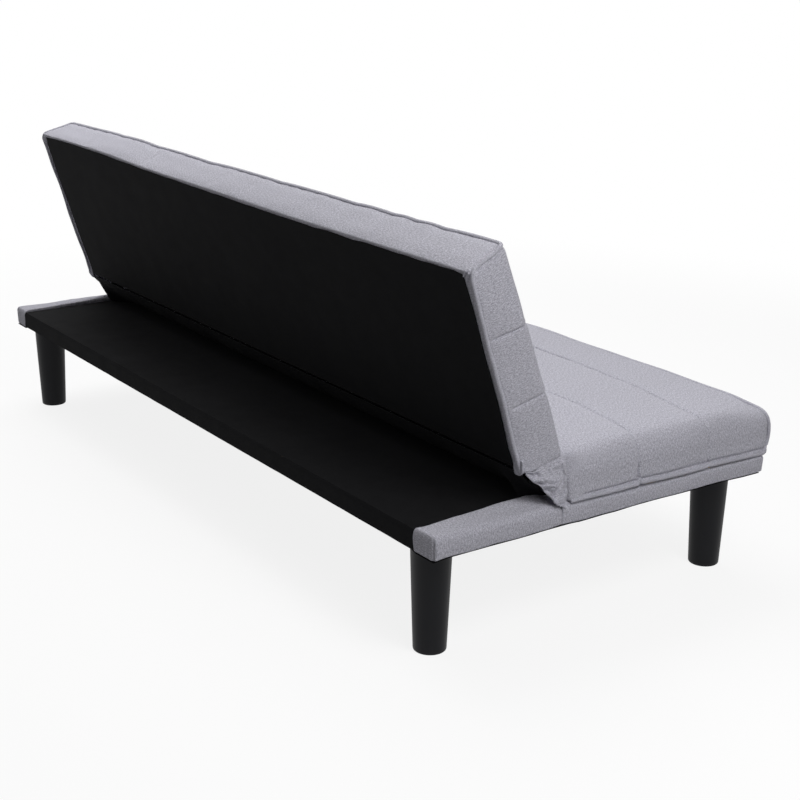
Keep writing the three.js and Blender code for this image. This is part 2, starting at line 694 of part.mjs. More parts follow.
function baseArmOutline() {
  const shape = new THREE.Shape();
  const footZ = [railBottom + baseArm.edge, railTop - baseArm.edge];
  const front = pivot.y - baseArm.front;
  const rear = pivot.y + baseArm.rear;
  const corner = baseArm.corner;
  const neckStart = -Math.acos(baseArm.neckRear / hub.radius);
  const neckEnd = Math.acos(baseArm.neckFront / hub.radius) + Math.PI;
  shape.moveTo(front + corner, footZ[0]);
  shape.lineTo(rear - corner, footZ[0]);
  shape.quadraticCurveTo(rear, footZ[0], rear, footZ[0] + corner);
  shape.quadraticCurveTo(rear, footZ[1], rear - corner, footZ[1]);
  shape.lineTo(pivot.y + baseArm.neckRear + corner, footZ[1]);
  shape.quadraticCurveTo(
    pivot.y + baseArm.neckRear, footZ[1], pivot.y + baseArm.neckRear, footZ[1] + corner);
  const half = THREE.MathUtils.degToRad(hub.toothHalfDegrees);
  let from = neckStart;
  for (const lock of lockDegrees) {
    const middle = THREE.MathUtils.degToRad(lock + pawl.tipDegrees);
    shape.absarc(pivot.y, pivot.z, hub.radius, from, middle - half);
    const root = hub.radius - hub.toothDepth;
    shape.lineTo(pivot.y + root * Math.cos(middle), pivot.z + root * Math.sin(middle));
    from = middle + half;
  }
  shape.absarc(pivot.y, pivot.z, hub.radius, from, neckEnd);
  shape.lineTo(pivot.y - baseArm.neckFront, footZ[1] + corner);
  shape.quadraticCurveTo(
    pivot.y - baseArm.neckFront, footZ[1], pivot.y - baseArm.neckFront - corner, footZ[1]);
  shape.quadraticCurveTo(front, footZ[1], front, footZ[1] - corner);
  shape.lineTo(front, footZ[0] + corner);
  shape.quadraticCurveTo(front, footZ[0], front + corner, footZ[0]);
  shape.holes.push(circleHole(pivot.y, pivot.z, rivet.shank + holePlay));
  for (const place of baseBoltPlaces) {
    shape.holes.push(circleHole(pivot.y + place, baseBoltZ, bolt.shank + holePlay));
  }
  return shape;
}

const leafPost = new THREE.Vector2(pawlStud.x + leaf.lift, pawlTip.y - pawl.nose * 2);

function backArmOutline() {
  const shape = new THREE.Shape();
  const [rearZ, frontZ] = [backFrameZ[0] + baseArm.edge, backFrameZ[1] - baseArm.edge];
  const corner = backArm.corner;
  const cheekZ = leafPost.y + backArm.cheekRise;
  const heel = -Math.PI + Math.PI / 4;
  shape.moveTo(backArm.hub * Math.cos(heel), backArm.hub * Math.sin(heel));
  shape.lineTo(pawlStud.x - backArm.corner, rearZ);
  shape.lineTo(backArm.reach - corner, rearZ);
  shape.quadraticCurveTo(backArm.reach, rearZ, backArm.reach, rearZ + corner);
  shape.quadraticCurveTo(backArm.reach, frontZ, backArm.reach - corner, frontZ);
  shape.lineTo(backArm.cheek + backArm.shoulder, frontZ);
  shape.lineTo(backArm.cheek, cheekZ);
  shape.lineTo(backArm.cheek / 2, cheekZ);
  shape.lineTo(backArm.hub, backArm.hub / 2);
  shape.absarc(0, 0, backArm.hub, Math.PI / 6, heel + Math.PI * 2);
  shape.holes.push(circleHole(0, 0, rivet.shank + holePlay));
  for (const place of backBoltPlaces) {
    shape.holes.push(circleHole(place, backBoltZ, bolt.shank + holePlay));
  }
  return shape;
}

// A headed stud on the back arm's outer face, along X from the plate
function armStud(place, sign, withHead) {
  const [inner, outer] = [backArmX[0] + seam, coverInnerX];
  const head = withHead ? [[outer, studHead], [outer + rivet.headThickness / 2, studHead]] : [];
  const radius = withHead ? pawl.stud : leaf.post;
  const end = withHead ? outer + rivet.headThickness / 2 : baseArmX[1];
  const shank = [[inner, 0], [inner, radius], [withHead ? outer : end, radius]];
  return turnedX([...shank, ...head, [end, 0]], place.x, place.y, sign);
}

// A point on the pawl: a distance from its stud towards its tip, then across
const pawlPoint = (reach, across) =>
  pawlStud.clone().add(along(leverAngle + Math.PI, reach)).add(along(leverAngle - Math.PI / 2, across));
const pawlOpen = Math.PI / 3;
const outerNose = pawlPoint(pawl.lever + pawl.nose, -pawl.nose * 2);
const outerHeel = pawlStud.clone().add(along(leverAngle + Math.PI - pawlOpen, pawl.boss));

function pawlOutline() {
  const shape = new THREE.Shape();
  const heading = leverAngle + Math.PI;
  shape.absarc(pawlStud.x, pawlStud.y, pawl.boss, heading + pawlOpen, heading - pawlOpen + Math.PI * 2);
  const point = pawlPoint(pawl.lever, 0);
  const innerNose = pawlPoint(pawl.lever - pawl.nose, -pawl.nose / 3);
  shape.lineTo(outerNose.x, outerNose.y);
  shape.lineTo(point.x, point.y);
  shape.lineTo(innerNose.x, innerNose.y);
  shape.holes.push(circleHole(pawlStud.x, pawlStud.y, pawl.stud + holePlay));
  return shape;
}

function pawlSpring(x) {
  const inner = leaf.post + holePlay;
  const outer = inner + leaf.eye;
  const eye = new THREE.Shape();
  eye.absarc(leafPost.x, leafPost.y, outer, 0, Math.PI * 2);
  eye.holes.push(circleHole(leafPost.x, leafPost.y, inner));
  const bladeZ = [leafPost.y - leaf.thickness / 2, leafPost.y + leaf.thickness / 2];
  const meeting = share(bladeZ[0], outerHeel.y, outerNose.y);
  const face = outerHeel.clone().lerp(outerNose, meeting);
  const blade = [face.x + seam, leafPost.x - inner - leaf.eye / 2];
  const middle = (x[0] + x[1]) / 2;
  const width = [middle - leaf.width / 2, middle + leaf.width / 2];
  return join(plate(eye, width), block(width, blade, bladeZ));
}

function boltGeometry(x, headAt, y, z) {
  const [low, high] = x;
  const headX = headAt === 'low' ? [low, low + bolt.headThickness] : [high - bolt.headThickness, high];
  return join(barX(bolt.shank, x, y, z), barX(bolt.head, headX, y, z, arcSteps));
}

function buildHinge({ name, sign }) {
  const headSide = { base: sign > 0 ? 'low' : 'high', back: sign > 0 ? 'high' : 'low' };
  piece(sofa, `base_hinge_arm_${name}`, plate(baseArmOutline(), onSide(baseArmX, sign)), paintedSteel);
  baseBoltPlaces.forEach((place, index) => {
    const x = onSide(baseBoltX, sign);
    const fastener = boltGeometry(x, headSide.base, pivot.y + place, baseBoltZ);
    piece(sofa, `base_arm_bolt_${name}_${index + 1}`, fastener, brightSteel);
  });
  const rivetProfile = [
    [backArmX[0] - seam - rivet.headThickness, 0],
    [backArmX[0] - seam - rivet.headThickness, rivet.head],
    [backArmX[0] - seam, rivet.head],
    [backArmX[0] - seam, rivet.shank],
    [coverInnerX, rivet.shank],
    [coverInnerX, rivet.head],
    [coverInnerX + rivet.headThickness, rivet.head],
    [coverInnerX + rivet.headThickness, 0],
  ];
  piece(sofa, `pivot_rivet_${name}`, turnedX(rivetProfile, pivot.y, pivot.z, sign), brightSteel);
  const arm = join(
    plate(backArmOutline(), onSide(backArmX, sign)),
    armStud(pawlStud, sign, true),
    armStud(leafPost, sign, false),
  );
  piece(backrest, `back_hinge_arm_${name}`, arm, paintedSteel);
  backBoltPlaces.forEach((place, index) => {
    const fastener = boltGeometry(onSide(backBoltX, sign), headSide.back, place, backBoltZ);
    piece(backrest, `back_arm_bolt_${name}_${index + 1}`, fastener, brightSteel);
  });
  piece(backrest, `pawl_${name}`, plate(pawlOutline(), onSide(baseArmX, sign)), brightSteel);
  piece(backrest, `pawl_spring_${name}`, pawlSpring(onSide(baseArmX, sign)), brightSteel);
}

// Cloths that bridge the hinge line, as they lie in the sofa position
const uprightPlace = (along, rise) => new THREE.Vector2(
  pivot.y + along * Math.cos(upright) - rise * Math.sin(upright),
  pivot.z + along * Math.sin(upright) + rise * Math.cos(upright),
);
const backHeel = uprightPlace(back.bottom + backSlant.rise, backRear);

function gussetGeometry() {
  const startY = seatRearY + seam + clothThickness + gusset.fold / 2;
  const topZ = backHeel.y - gusset.drop;
  const tipZ = coverTop + seam + clothThickness;
  const surface = (across, down) => {
    const wide = THREE.MathUtils.lerp(backHeel.x - startY, gusset.tipWidth, smooth(down * 0.5) * 2);
    const depthShare = Math.sin(Math.PI * THREE.MathUtils.lerp(...gussetFoldShares, down));
    const fold = Math.sin(across * Math.PI * 2 * gusset.folds) * gusset.fold * depthShare;
    const x = halfLength - THREE.MathUtils.lerp(gusset.top, gusset.tip, down) + fold / 2;
    const z = THREE.MathUtils.lerp(topZ, tipZ, down);
    return new THREE.Vector3(x, startY + across * wide, z);
  };
  return sheet(surface, 18, 6, clothThickness);
}

function flapGeometry() {
  const halfWidth = backArmX[0] - flap.end;
  const deckTop = railTop + seam + clothThickness;
  const start = new THREE.Vector2(seatRearY + seam + clothThickness, deckTop + seam + clothThickness / 2);
  const end = new THREE.Vector2(backHeel.x - clothThickness, backHeel.y - flap.drop);
  const surface = (across, up) => {
    const ripple = flap.wave * Math.cos(across * Math.PI * 2 * flap.waves) - flap.wave;
    const dip = (ripple - flap.sag) * Math.sin(Math.PI * up) ** 2;
    const x = THREE.MathUtils.lerp(-halfWidth, halfWidth, across);
    const y = THREE.MathUtils.lerp(start.x, end.x, up) - dip / 2;
    return new THREE.Vector3(x, y, THREE.MathUtils.lerp(start.y, end.y, up) + dip / 2);
  };
  return sheet(surface, 30, 5, clothThickness);
}

function creaseGeometry() {
  const halfWidth = backArmX[0] - crease.end;
  const startY = seatRearY + seam + clothThickness / 2;
  const topZ = pivot.z + crease.start;
  const surface = (across, along) => {
    const y = startY + (crease.width / 2) * (1 - Math.cos(Math.PI * along));
    const z = topZ - crease.depth * (1 - Math.abs(1 - 2 * along) ** 3);
    return new THREE.Vector3(THREE.MathUtils.lerp(halfWidth, -halfWidth, across), y, z);
  };
  return sheet(surface, 1, 10, clothThickness);
}

function buildBridgingCloths() {
  piece(sofa, 'gusset_left', gussetGeometry(), greyFabric);
  piece(sofa, 'gusset_right', mirrored(gussetGeometry()), greyFabric);
  piece(sofa, 'hinge_flap', flapGeometry(), blackCloth);
  piece(sofa, 'crease_cloth', creaseGeometry(), greyFabric);
}

buildLegs();
buildBaseFrame();
buildSprings();
buildBaseCovers();
buildBaseCloths();
buildCushions();
buildBackFrame();
sides.forEach(buildHinge);
buildBridgingCloths();

export default sofa;
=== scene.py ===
import math

import bpy
import numpy as np
from mathutils import Matrix, Vector


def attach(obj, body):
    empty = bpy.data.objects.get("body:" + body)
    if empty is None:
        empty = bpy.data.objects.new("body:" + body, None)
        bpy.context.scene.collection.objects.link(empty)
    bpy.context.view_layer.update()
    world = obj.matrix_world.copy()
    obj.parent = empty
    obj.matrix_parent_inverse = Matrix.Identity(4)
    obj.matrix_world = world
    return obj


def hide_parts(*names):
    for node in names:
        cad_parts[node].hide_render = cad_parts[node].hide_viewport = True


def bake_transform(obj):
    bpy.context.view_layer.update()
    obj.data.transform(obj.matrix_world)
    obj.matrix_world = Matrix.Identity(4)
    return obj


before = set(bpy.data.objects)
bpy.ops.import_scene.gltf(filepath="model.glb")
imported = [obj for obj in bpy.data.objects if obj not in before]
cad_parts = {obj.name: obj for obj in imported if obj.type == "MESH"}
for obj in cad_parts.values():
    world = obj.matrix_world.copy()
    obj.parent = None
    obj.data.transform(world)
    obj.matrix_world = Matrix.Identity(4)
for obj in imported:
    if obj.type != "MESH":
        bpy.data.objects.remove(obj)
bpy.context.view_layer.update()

scene = bpy.context.scene


# camera, floor and light
camera = {
    "place": (-2.5175, 1.6259, 1.1202),
    "yaw": 125.151, "pitch": 17.849, "roll": 0.634,  # degrees: round from +Y, down, leaning
    "lens": 67.80, "sensor": 36.0,
}


def placeCamera():
    yaw, pitch, roll = (math.radians(camera[name]) for name in ("yaw", "pitch", "roll"))
    forward = Vector((math.sin(yaw), math.cos(yaw), 0)) * math.cos(pitch) - Vector((0, 0, math.sin(pitch)))
    level = Vector((math.cos(yaw), -math.sin(yaw), 0))
    rise = level.cross(forward)
    right = math.cos(roll) * level + math.sin(roll) * rise
    up = math.cos(roll) * rise - math.sin(roll) * level
    bpy.ops.object.camera_add()
    made = bpy.context.object
    made.matrix_world = Matrix((right, up, -forward)).transposed().to_4x4()
    made.location = camera["place"]
    made.data.sensor_width = camera["sensor"]
    made.data.lens = camera["lens"]
    scene.camera = made


placeCamera()
print("camera placed")


def deselectAll():
    if bpy.context.mode != "OBJECT":
        bpy.ops.object.mode_set(mode="OBJECT")
    bpy.ops.object.select_all(action="DESELECT")


def activate(obj):
    deselectAll()
    obj.select_set(True)
    bpy.context.view_layer.objects.active = obj


def addNode(tree, kind, sockets=None, **settings):
    # another node's socket is linked, a plain value is set on the input itself
    made = tree.nodes.new("ShaderNode" + kind)
    for name, value in settings.items():
        setattr(made, name, value)
    for name, value in (sockets or {}).items():
        if isinstance(value, bpy.types.NodeSocket):
            tree.links.new(value, made.inputs[name])
        else:
            made.inputs[name].default_value = value
    return made


def addMath(tree, operation, first, second=0.0):
    return addNode(tree, "Math", {0: first, 1: second}, operation=operation).outputs[0]


def between(tree, factor, first, second):
    # each colour is another node's socket or three plain numbers
    colours = [value if isinstance(value, bpy.types.NodeSocket) else (*value, 1) for value in (first, second)]
    sockets = {"Factor": factor, 6: colours[0], 7: colours[1]}
    return addNode(tree, "Mix", sockets, data_type="RGBA").outputs[2]


def seenDirectly(tree):
    # 1 for the camera's own rays and for what metal and glass show, otherwise 0
    path = addNode(tree, "LightPath").outputs
    total = addMath(tree, "ADD", path["Is Camera Ray"], path["Is Glossy Ray"])
    total = addMath(tree, "ADD", total, path["Is Transmission Ray"])
    return addMath(tree, "MINIMUM", total, 1.0)


def newMaterial(name):
    made = bpy.data.materials.new(name)
    made.use_nodes = True
    made.node_tree.nodes.clear()
    return made, made.node_tree


studio = {
    "floorSize": 60.0, "paperTone": 0.90, "bounceTone": 0.50,
    "whiteNear": 0.86, "whiteFrom": 1.4, "whiteTo": 2.6,  # metres round the middle
    "ambient": 0.015,
    "lamps": (  # place, what it faces, size, watts
        ((1.6, -0.45, 3.1), (0.4, 0.0, 0.3), (2.5, 2.5), 86),
        ((1.2, 1.2, 3.0), (0.3, 0.2, 0.3), (2.0, 2.0), 20),
        ((-2.2, 0.0, 2.4), (-0.8, 0.2, 0.4), (0.9, 0.9), 25),
        ((-2.0, 0.3, 1.2), (-0.8, 0.1, 0.4), (0.9, 0.9), 7),
        ((-0.1, -1.3, 1.2), (-0.4, -0.2, 0.3), (0.8, 0.8), 1.6),
    ),
}


def buildStage():
    deselectAll()
    bpy.ops.mesh.primitive_plane_add(size=studio["floorSize"])
    floor = bpy.context.object
    floor.name = "studio_floor"
    material, tree = newMaterial("studioFloor")
    seen = seenDirectly(tree)
    tone = between(tree, seen, (studio["bounceTone"],) * 3, (studio["paperTone"],) * 3)
    paper = addNode(tree, "BsdfDiffuse", {"Color": tone})
    glow = addNode(tree, "Emission", {"Color": (1, 1, 1, 1), "Strength": 1.0})
    place = addNode(tree, "TexCoord").outputs["Object"]
    reach = addNode(tree, "VectorMath", {0: place}, operation="LENGTH").outputs["Value"]
    away = addNode(tree, "MapRange", {
        "Value": reach, "From Min": studio["whiteFrom"], "From Max": studio["whiteTo"],
        "To Min": studio["whiteNear"]}, interpolation_type="SMOOTHSTEP")
    share = addMath(tree, "MULTIPLY", seen, away.outputs["Result"])
    mix = addNode(tree, "MixShader", {0: share, 1: paper.outputs[0], 2: glow.outputs[0]})
    addNode(tree, "OutputMaterial", {"Surface": mix.outputs[0]})
    floor.data.materials.append(material)

    world = bpy.data.worlds.new("studioWorld")
    world.use_nodes = True
    scene.world = world
    tree = world.node_tree
    tree.nodes.clear()
    seen = seenDirectly(tree)
    soft = addNode(tree, "Background", {"Color": (1, 1, 1, 1), "Strength": studio["ambient"]})
    white = addNode(tree, "Background", {"Color": (1, 1, 1, 1), "Strength": 1.0})
    mix = addNode(tree, "MixShader", {0: seen, 1: soft.outputs[0], 2: white.outputs[0]})
    addNode(tree, "OutputWorld", {"Surface": mix.outputs[0]})

    for place, aim, size, watts in studio["lamps"]:
        bpy.ops.object.light_add(type="AREA", location=place)
        lamp = bpy.context.object
        lamp.data.shape = "RECTANGLE"
        lamp.data.size, lamp.data.size_y = size
        lamp.data.energy = watts
        lamp.rotation_euler = (Vector(aim) - Vector(place)).to_track_quat("-Z", "Y").to_euler()
    scene.view_settings.view_transform = "Standard"


buildStage()
print("floor and lamps made")


# shader groups
def newGroup(name, inputs, outputs):
    group = bpy.data.node_groups.new(name, "ShaderNodeTree")
    for socket, kind, value in inputs:
        made = group.interface.new_socket(name=socket, in_out="INPUT", socket_type="NodeSocket" + kind)
        if value is not None:
            made.default_value = value
    for socket, kind in outputs:
        group.interface.new_socket(name=socket, in_out="OUTPUT", socket_type="NodeSocket" + kind)
    start = group.nodes.new("NodeGroupInput").outputs
    end = group.nodes.new("NodeGroupOutput").inputs
    return group, start, end


def noiseAt(tree, vector, stretch, detail=2.0, roughness=0.55, scale=1.0):
    moved = addNode(tree, "VectorMath", {0: vector, 1: stretch}, operation="MULTIPLY").outputs[0]
    return addNode(tree, "TexNoise", {
        "Vector": moved, "Scale": scale, "Detail": detail, "Roughness": roughness}).outputs["Fac"]


def centred(tree, value, gain):
    return addMath(tree, "MULTIPLY", addMath(tree, "SUBTRACT", value, 0.5), gain)


def inUnits(group, start, unit):
    # the place on the piece, measured in the pattern's own unit
    size = addMath(group, "DIVIDE", 1.0, start[unit])
    return addNode(group, "VectorMath", {0: start["Vector"], "Scale": size}, operation="SCALE").outputs[0]


def checkered(group, vector):
    # waves both ways, above 0 in every second cell
    split = addNode(group, "SeparateXYZ", {0: vector}).outputs
    waves = [addMath(group, "SINE", addMath(group, "MULTIPLY", split[axis], math.pi)) for axis in (0, 1)]
    return addMath(group, "MULTIPLY", *waves)


heatherLook = {  # the first three stretch the noise
    "weft": (0.20, 0.62, 1.0), "warp": (0.62, 0.20, 1.0), "speckle": (0.62, 0.62, 1.0),
    "weftGain": 3.3, "threadGain": 1.9, "speckleGain": 4.6, "detail": 3.0,
    "roundness": 0.6, "gapShade": 0.14, "overHeight": 0.3, "weftHeight": 0.5,
}


def buildHeatherWeave():
    look = heatherLook
    group, start, end = newGroup("heatherWeave", (
        ("Vector", "Vector", None), ("Thread", "Float", 0.0009), ("Fleck", "Float", 0.5),
    ), (("Tone", "Float"), ("Height", "Float")))
    vector = inUnits(group, start, "Thread")
    cells = checkered(group, vector)
    cell = addMath(group, "POWER", addMath(group, "ABSOLUTE", cells), look["roundness"])
    over = addMath(group, "GREATER_THAN", cells, 0.0)
    names = ("weft", "warp", "speckle")
    weft, warp, speckle = (noiseAt(group, vector, look[name], look["detail"]) for name in names)
    threads = addNode(group, "Mix", {"Factor": over, 2: weft, 3: warp}, data_type="FLOAT").outputs[0]
    tone = centred(group, weft, look["weftGain"])
    for value, gain in ((threads, "threadGain"), (speckle, "speckleGain")):
        tone = addMath(group, "ADD", tone, centred(group, value, look[gain]))
    tone = addMath(group, "MULTIPLY", tone, start["Fleck"])
    # painted shade: the gaps between threads, where the weave's height is low, are darkened
    sunk = addMath(group, "MULTIPLY", addMath(group, "SUBTRACT", 1.0, cell), look["gapShade"])
    tone = addMath(group, "SUBTRACT", addMath(group, "ADD", tone, 0.5), sunk)
    tone = addNode(group, "Clamp", {"Value": tone}).outputs[0]
    height = addMath(group, "ADD", cell, addMath(group, "MULTIPLY", over, look["overHeight"]))
    height = addMath(group, "ADD", height, centred(group, weft, look["weftHeight"]))
    group.links.new(tone, end["Tone"])
    group.links.new(height, end["Height"])
    return group


fibreLook = {  # the first three stretch the noise
    "lengthwise": (0.5, 3.0, 1.0), "crosswise": (3.0, 0.7, 1.0), "cloud": (0.05, 0.05, 1.0),
    "hairGain": 0.8, "cloudGain": 0.5, "dimpleShape": 3.0, "dimpleShade": 0.25, "dimpleDepth": 0.7,
}


def buildPressedFibre():
    look = fibreLook
    group, start, end = newGroup("pressedFibre", (
        ("Vector", "Vector", None), ("Pitch", "Float", 0.0016),
    ), (("Tone", "Float"), ("Height", "Float")))
    vector = inUnits(group, start, "Pitch")
    cells = addMath(group, "ABSOLUTE", checkered(group, vector))
    dimple = addMath(group, "POWER", cells, look["dimpleShape"])
    fibre, cross = (noiseAt(group, vector, look[name], 4.0, 0.7) for name in ("lengthwise", "crosswise"))
    hair = addMath(group, "MULTIPLY", addMath(group, "ADD", fibre, cross), 0.5)
    cloud = noiseAt(group, vector, look["cloud"], detail=4.0)
    cloud = centred(group, cloud, look["cloudGain"])
    tone = addMath(group, "ADD", addMath(group, "ADD", centred(group, hair, look["hairGain"]), cloud), 0.5)
    # painted shade in the pressed dimples, which the height below sinks
    tone = addMath(group, "SUBTRACT", tone, addMath(group, "MULTIPLY", dimple, look["dimpleShade"]))
    height = addMath(group, "SUBTRACT", hair, addMath(group, "MULTIPLY", dimple, look["dimpleDepth"]))
    group.links.new(addNode(group, "Clamp", {"Value": tone}).outputs[0], end["Tone"])
    group.links.new(height, end["Height"])
    return group


def buildUse():
    # faint soiling and handling marks, larger than the material's own pattern
    group, start, end = newGroup("use", (
        ("Vector", "Vector", None), ("Patch", "Float", 0.12), ("Amount", "Float", 0.5),
    ), (("Mask", "Float"),))
    patch = noiseAt(group, inUnits(group, start, "Patch"), (1.0, 1.0, 1.0), detail=5.0, roughness=0.6)
    spread = addNode(group, "MapRange", {"Value": patch, "From Min": 0.42, "From Max": 0.75})
    mask = addMath(group, "MULTIPLY", spread.outputs["Result"], start["Amount"])
    group.links.new(mask, end["Mask"])
    return group


grainLook = {  # the first three stretch the pattern
    "bend": (0.01, 0.3, 0.3), "rings": (0.02, 1.0, 0.7), "pores": (0.12, 6.0, 6.0),
    "ringScale": 0.35, "wander": 9.0, "ringTone": 0.6, "poreTone": 0.5,
}


def buildGrain():
    look = grainLook
    group, start, end = newGroup("grain", (
        ("Vector", "Vector", None), ("Ring", "Float", 0.006),
    ), (("Tone", "Float"), ("Height", "Float")))
    vector = inUnits(group, start, "Ring")
    bend = addMath(group, "MULTIPLY", noiseAt(group, vector, look["bend"]), look["wander"])
    stretched = addNode(group, "VectorMath", {0: vector, 1: look["rings"]}, operation="MULTIPLY").outputs[0]
    rings = addNode(group, "TexWave", {
        "Vector": stretched, "Scale": look["ringScale"], "Distortion": bend, "Detail": 2.0,
    }, bands_direction="Y").outputs["Fac"]
    pores = noiseAt(group, vector, look["pores"], detail=3.0, roughness=0.7)
    rings = addMath(group, "MULTIPLY", rings, look["ringTone"])
    tone = addMath(group, "ADD", rings, addMath(group, "MULTIPLY", pores, look["poreTone"]))
    group.links.new(addNode(group, "Clamp", {"Value": tone}).outputs[0], end["Tone"])
    group.links.new(pores, end["Height"])
    return group


heatherWeave, pressedFibre, use, grain = buildHeatherWeave(), buildPressedFibre(), buildUse(), buildGrain()


def placed(tree, group, sockets):
    return addNode(tree, "Group", sockets, node_tree=group).outputs


def objectPlace(tree):
    return addNode(tree, "TexCoord").outputs["Object"]


def marksOf(tree, patch, amount):
    # handling marks about that size across, and how much they show
    return placed(tree, use, {"Vector": objectPlace(tree), "Patch": patch, "Amount": amount})["Mask"]


def finishSurface(tree, colour, roughness, height, relief, **sockets):
    bump = addNode(tree, "Bump", {"Height": height, "Strength": relief[0], "Distance": relief[1]})
    names = {name.replace("_", " "): value for name, value in sockets.items()}
    surface = addNode(tree, "BsdfPrincipled", {
        "Base Color": colour, "Roughness": roughness, "Normal": bump.outputs[0], **names})
    addNode(tree, "OutputMaterial", {"Surface": surface.outputs[0]})


def mapped(tree, value, low, high):
    return addNode(tree, "MapRange", {"Value": value, "To Min": low, "To Max": high}).outputs["Result"]


greyCloth = {
    "dark": (0.305, 0.300, 0.352), "light": (0.640, 0.632, 0.700), "soiled": (0.37, 0.36, 0.40),
    "thread": 0.0011, "fleck": 0.62, "marks": (0.2, 0.14), "roughness": (0.97, 0.86),
    "relief": (0.45, 0.0005),  # strength and height of the bump
}


def greyClothMaterial(name, onObject=False, fleck=1.0):
    material, tree = newMaterial(name)
    where = addNode(tree, "TexCoord").outputs["Object" if onObject else "UV"]
    weave = placed(tree, heatherWeave, {
        "Vector": where, "Thread": greyCloth["thread"], "Fleck": greyCloth["fleck"] * fleck})
    colour = between(tree, weave["Tone"], greyCloth["dark"], greyCloth["light"])
    colour = between(tree, marksOf(tree, *greyCloth["marks"]), colour, greyCloth["soiled"])
    roughness = mapped(tree, weave["Tone"], *greyCloth["roughness"])
    finishSurface(tree, colour, roughness, weave["Height"], greyCloth["relief"],
                  Sheen_Weight=0.12, Sheen_Roughness=0.6, Specular_IOR_Level=0.25)
    return material


blackCloth = {
    "dark": (0.0022, 0.0022, 0.0026), "light": (0.0075, 0.0075, 0.0083), "dusty": (0.018, 0.018, 0.019),
    "pitch": 0.0017, "marks": (0.16, 0.12), "roughness": (0.92, 0.78), "relief": (0.35, 0.0004),
}


def blackClothMaterial(name):
    material, tree = newMaterial(name)
    where = addNode(tree, "TexCoord").outputs["UV"]
    fibre = placed(tree, pressedFibre, {"Vector": where, "Pitch": blackCloth["pitch"]})
    colour = between(tree, fibre["Tone"], blackCloth["dark"], blackCloth["light"])
    colour = between(tree, marksOf(tree, *blackCloth["marks"]), colour, blackCloth["dusty"])
    roughness = mapped(tree, fibre["Tone"], *blackCloth["roughness"])
    finishSurface(tree, colour, roughness, fibre["Height"], blackCloth["relief"], Specular_IOR_Level=0.06)
    return material


legPlastic = {
    "base": (0.0060, 0.0062, 0.0078), "rubbed": (0.020, 0.020, 0.023), "roughness": (0.38, 0.54),
    "marks": (0.03, 0.5), "relief": (0.12, 0.0002),
    "scuffTop": 0.05, "scuffAbove": 0.12,  # rubbed most near the floor, and the share left above it
}


def legPlasticMaterial(name):
    material, tree = newMaterial(name)
    where = objectPlace(tree)
    skin = noiseAt(tree, where, (1.0, 1.0, 1.0), detail=3.0, scale=1500.0)
    flow = noiseAt(tree, where, (1.0, 1.0, 0.15), detail=2.0, scale=90.0)
    height = addNode(tree, "SeparateXYZ", {0: where}).outputs[2]
    nearFloor = addNode(tree, "MapRange", {
        "Value": height, "From Min": 0.0, "From Max": legPlastic["scuffTop"],
        "To Min": 1.0, "To Max": legPlastic["scuffAbove"]}).outputs["Result"]
    rubbed = addMath(tree, "MULTIPLY", marksOf(tree, *legPlastic["marks"]), nearFloor)
    colour = between(tree, rubbed, legPlastic["base"], legPlastic["rubbed"])
    roughness = mapped(tree, addMath(tree, "ADD", flow, rubbed), *legPlastic["roughness"])
    finishSurface(tree, colour, roughness, skin, legPlastic["relief"], Specular_IOR_Level=0.16)
    return material


timber = {
    "pale": (0.62, 0.43, 0.24), "ringed": (0.36, 0.22, 0.11), "handled": (0.25, 0.17, 0.10),
    "ring": 0.006, "marks": (0.06, 0.25), "roughness": (0.72, 0.60), "relief": (0.3, 0.0004),
}


def timberMaterial(name, turn):
    material, tree = newMaterial(name)
    turned = addNode(tree, "Mapping", {"Vector": objectPlace(tree), "Rotation": turn}).outputs[0]
    figure = placed(tree, grain, {"Vector": turned, "Ring": timber["ring"]})
    colour = between(tree, figure["Tone"], timber["pale"], timber["ringed"])
    colour = between(tree, marksOf(tree, *timber["marks"]), colour, timber["handled"])
    roughness = mapped(tree, figure["Tone"], *timber["roughness"])
    finishSurface(tree, colour, roughness, figure["Height"], timber["relief"])
    return material


hardboard = {
    "chip": (0.30, 0.17, 0.08), "fibre": (0.20, 0.11, 0.05), "handled": (0.14, 0.08, 0.04),
    "marks": (0.1, 0.3), "roughness": (0.85, 0.6), "relief": (0.3, 0.0003),
}


def boardMaterial(name):
    material, tree = newMaterial(name)
    chips = noiseAt(tree, objectPlace(tree), (1.0, 1.0, 1.0), detail=6.0, roughness=0.7, scale=420.0)
    colour = between(tree, chips, hardboard["chip"], hardboard["fibre"])
    colour = between(tree, marksOf(tree, *hardboard["marks"]), colour, hardboard["handled"])
    roughness = mapped(tree, chips, *hardboard["roughness"])
    finishSurface(tree, colour, roughness, chips, hardboard["relief"])
    return material


paintedSteel = {
    "base": (0.018, 0.018, 0.020), "worn": (0.06, 0.06, 0.062), "roughness": (0.34, 0.6), "metallic": 0.3,
    "marks": (0.012, 0.6), "relief": (0.15, 0.0002),
}
zincedSteel = {
    "base": (0.56, 0.57, 0.58), "worn": (0.40, 0.39, 0.37), "roughness": (0.28, 0.5), "metallic": 1.0,
    "marks": (0.012, 0.6), "relief": (0.15, 0.0002),
}


def steelMaterial(name, steel):
    material, tree = newMaterial(name)
    scratch = noiseAt(tree, objectPlace(tree), (1.0, 0.08, 1.0), detail=4.0, roughness=0.7, scale=700.0)
    marks = marksOf(tree, *steel["marks"])
    colour = between(tree, marks, steel["base"], steel["worn"])
    shine = mapped(tree, addMath(tree, "ADD", scratch, marks), *steel["roughness"])
    finishSurface(tree, colour, shine, scratch, steel["relief"], Metallic=steel["metallic"])
    return material


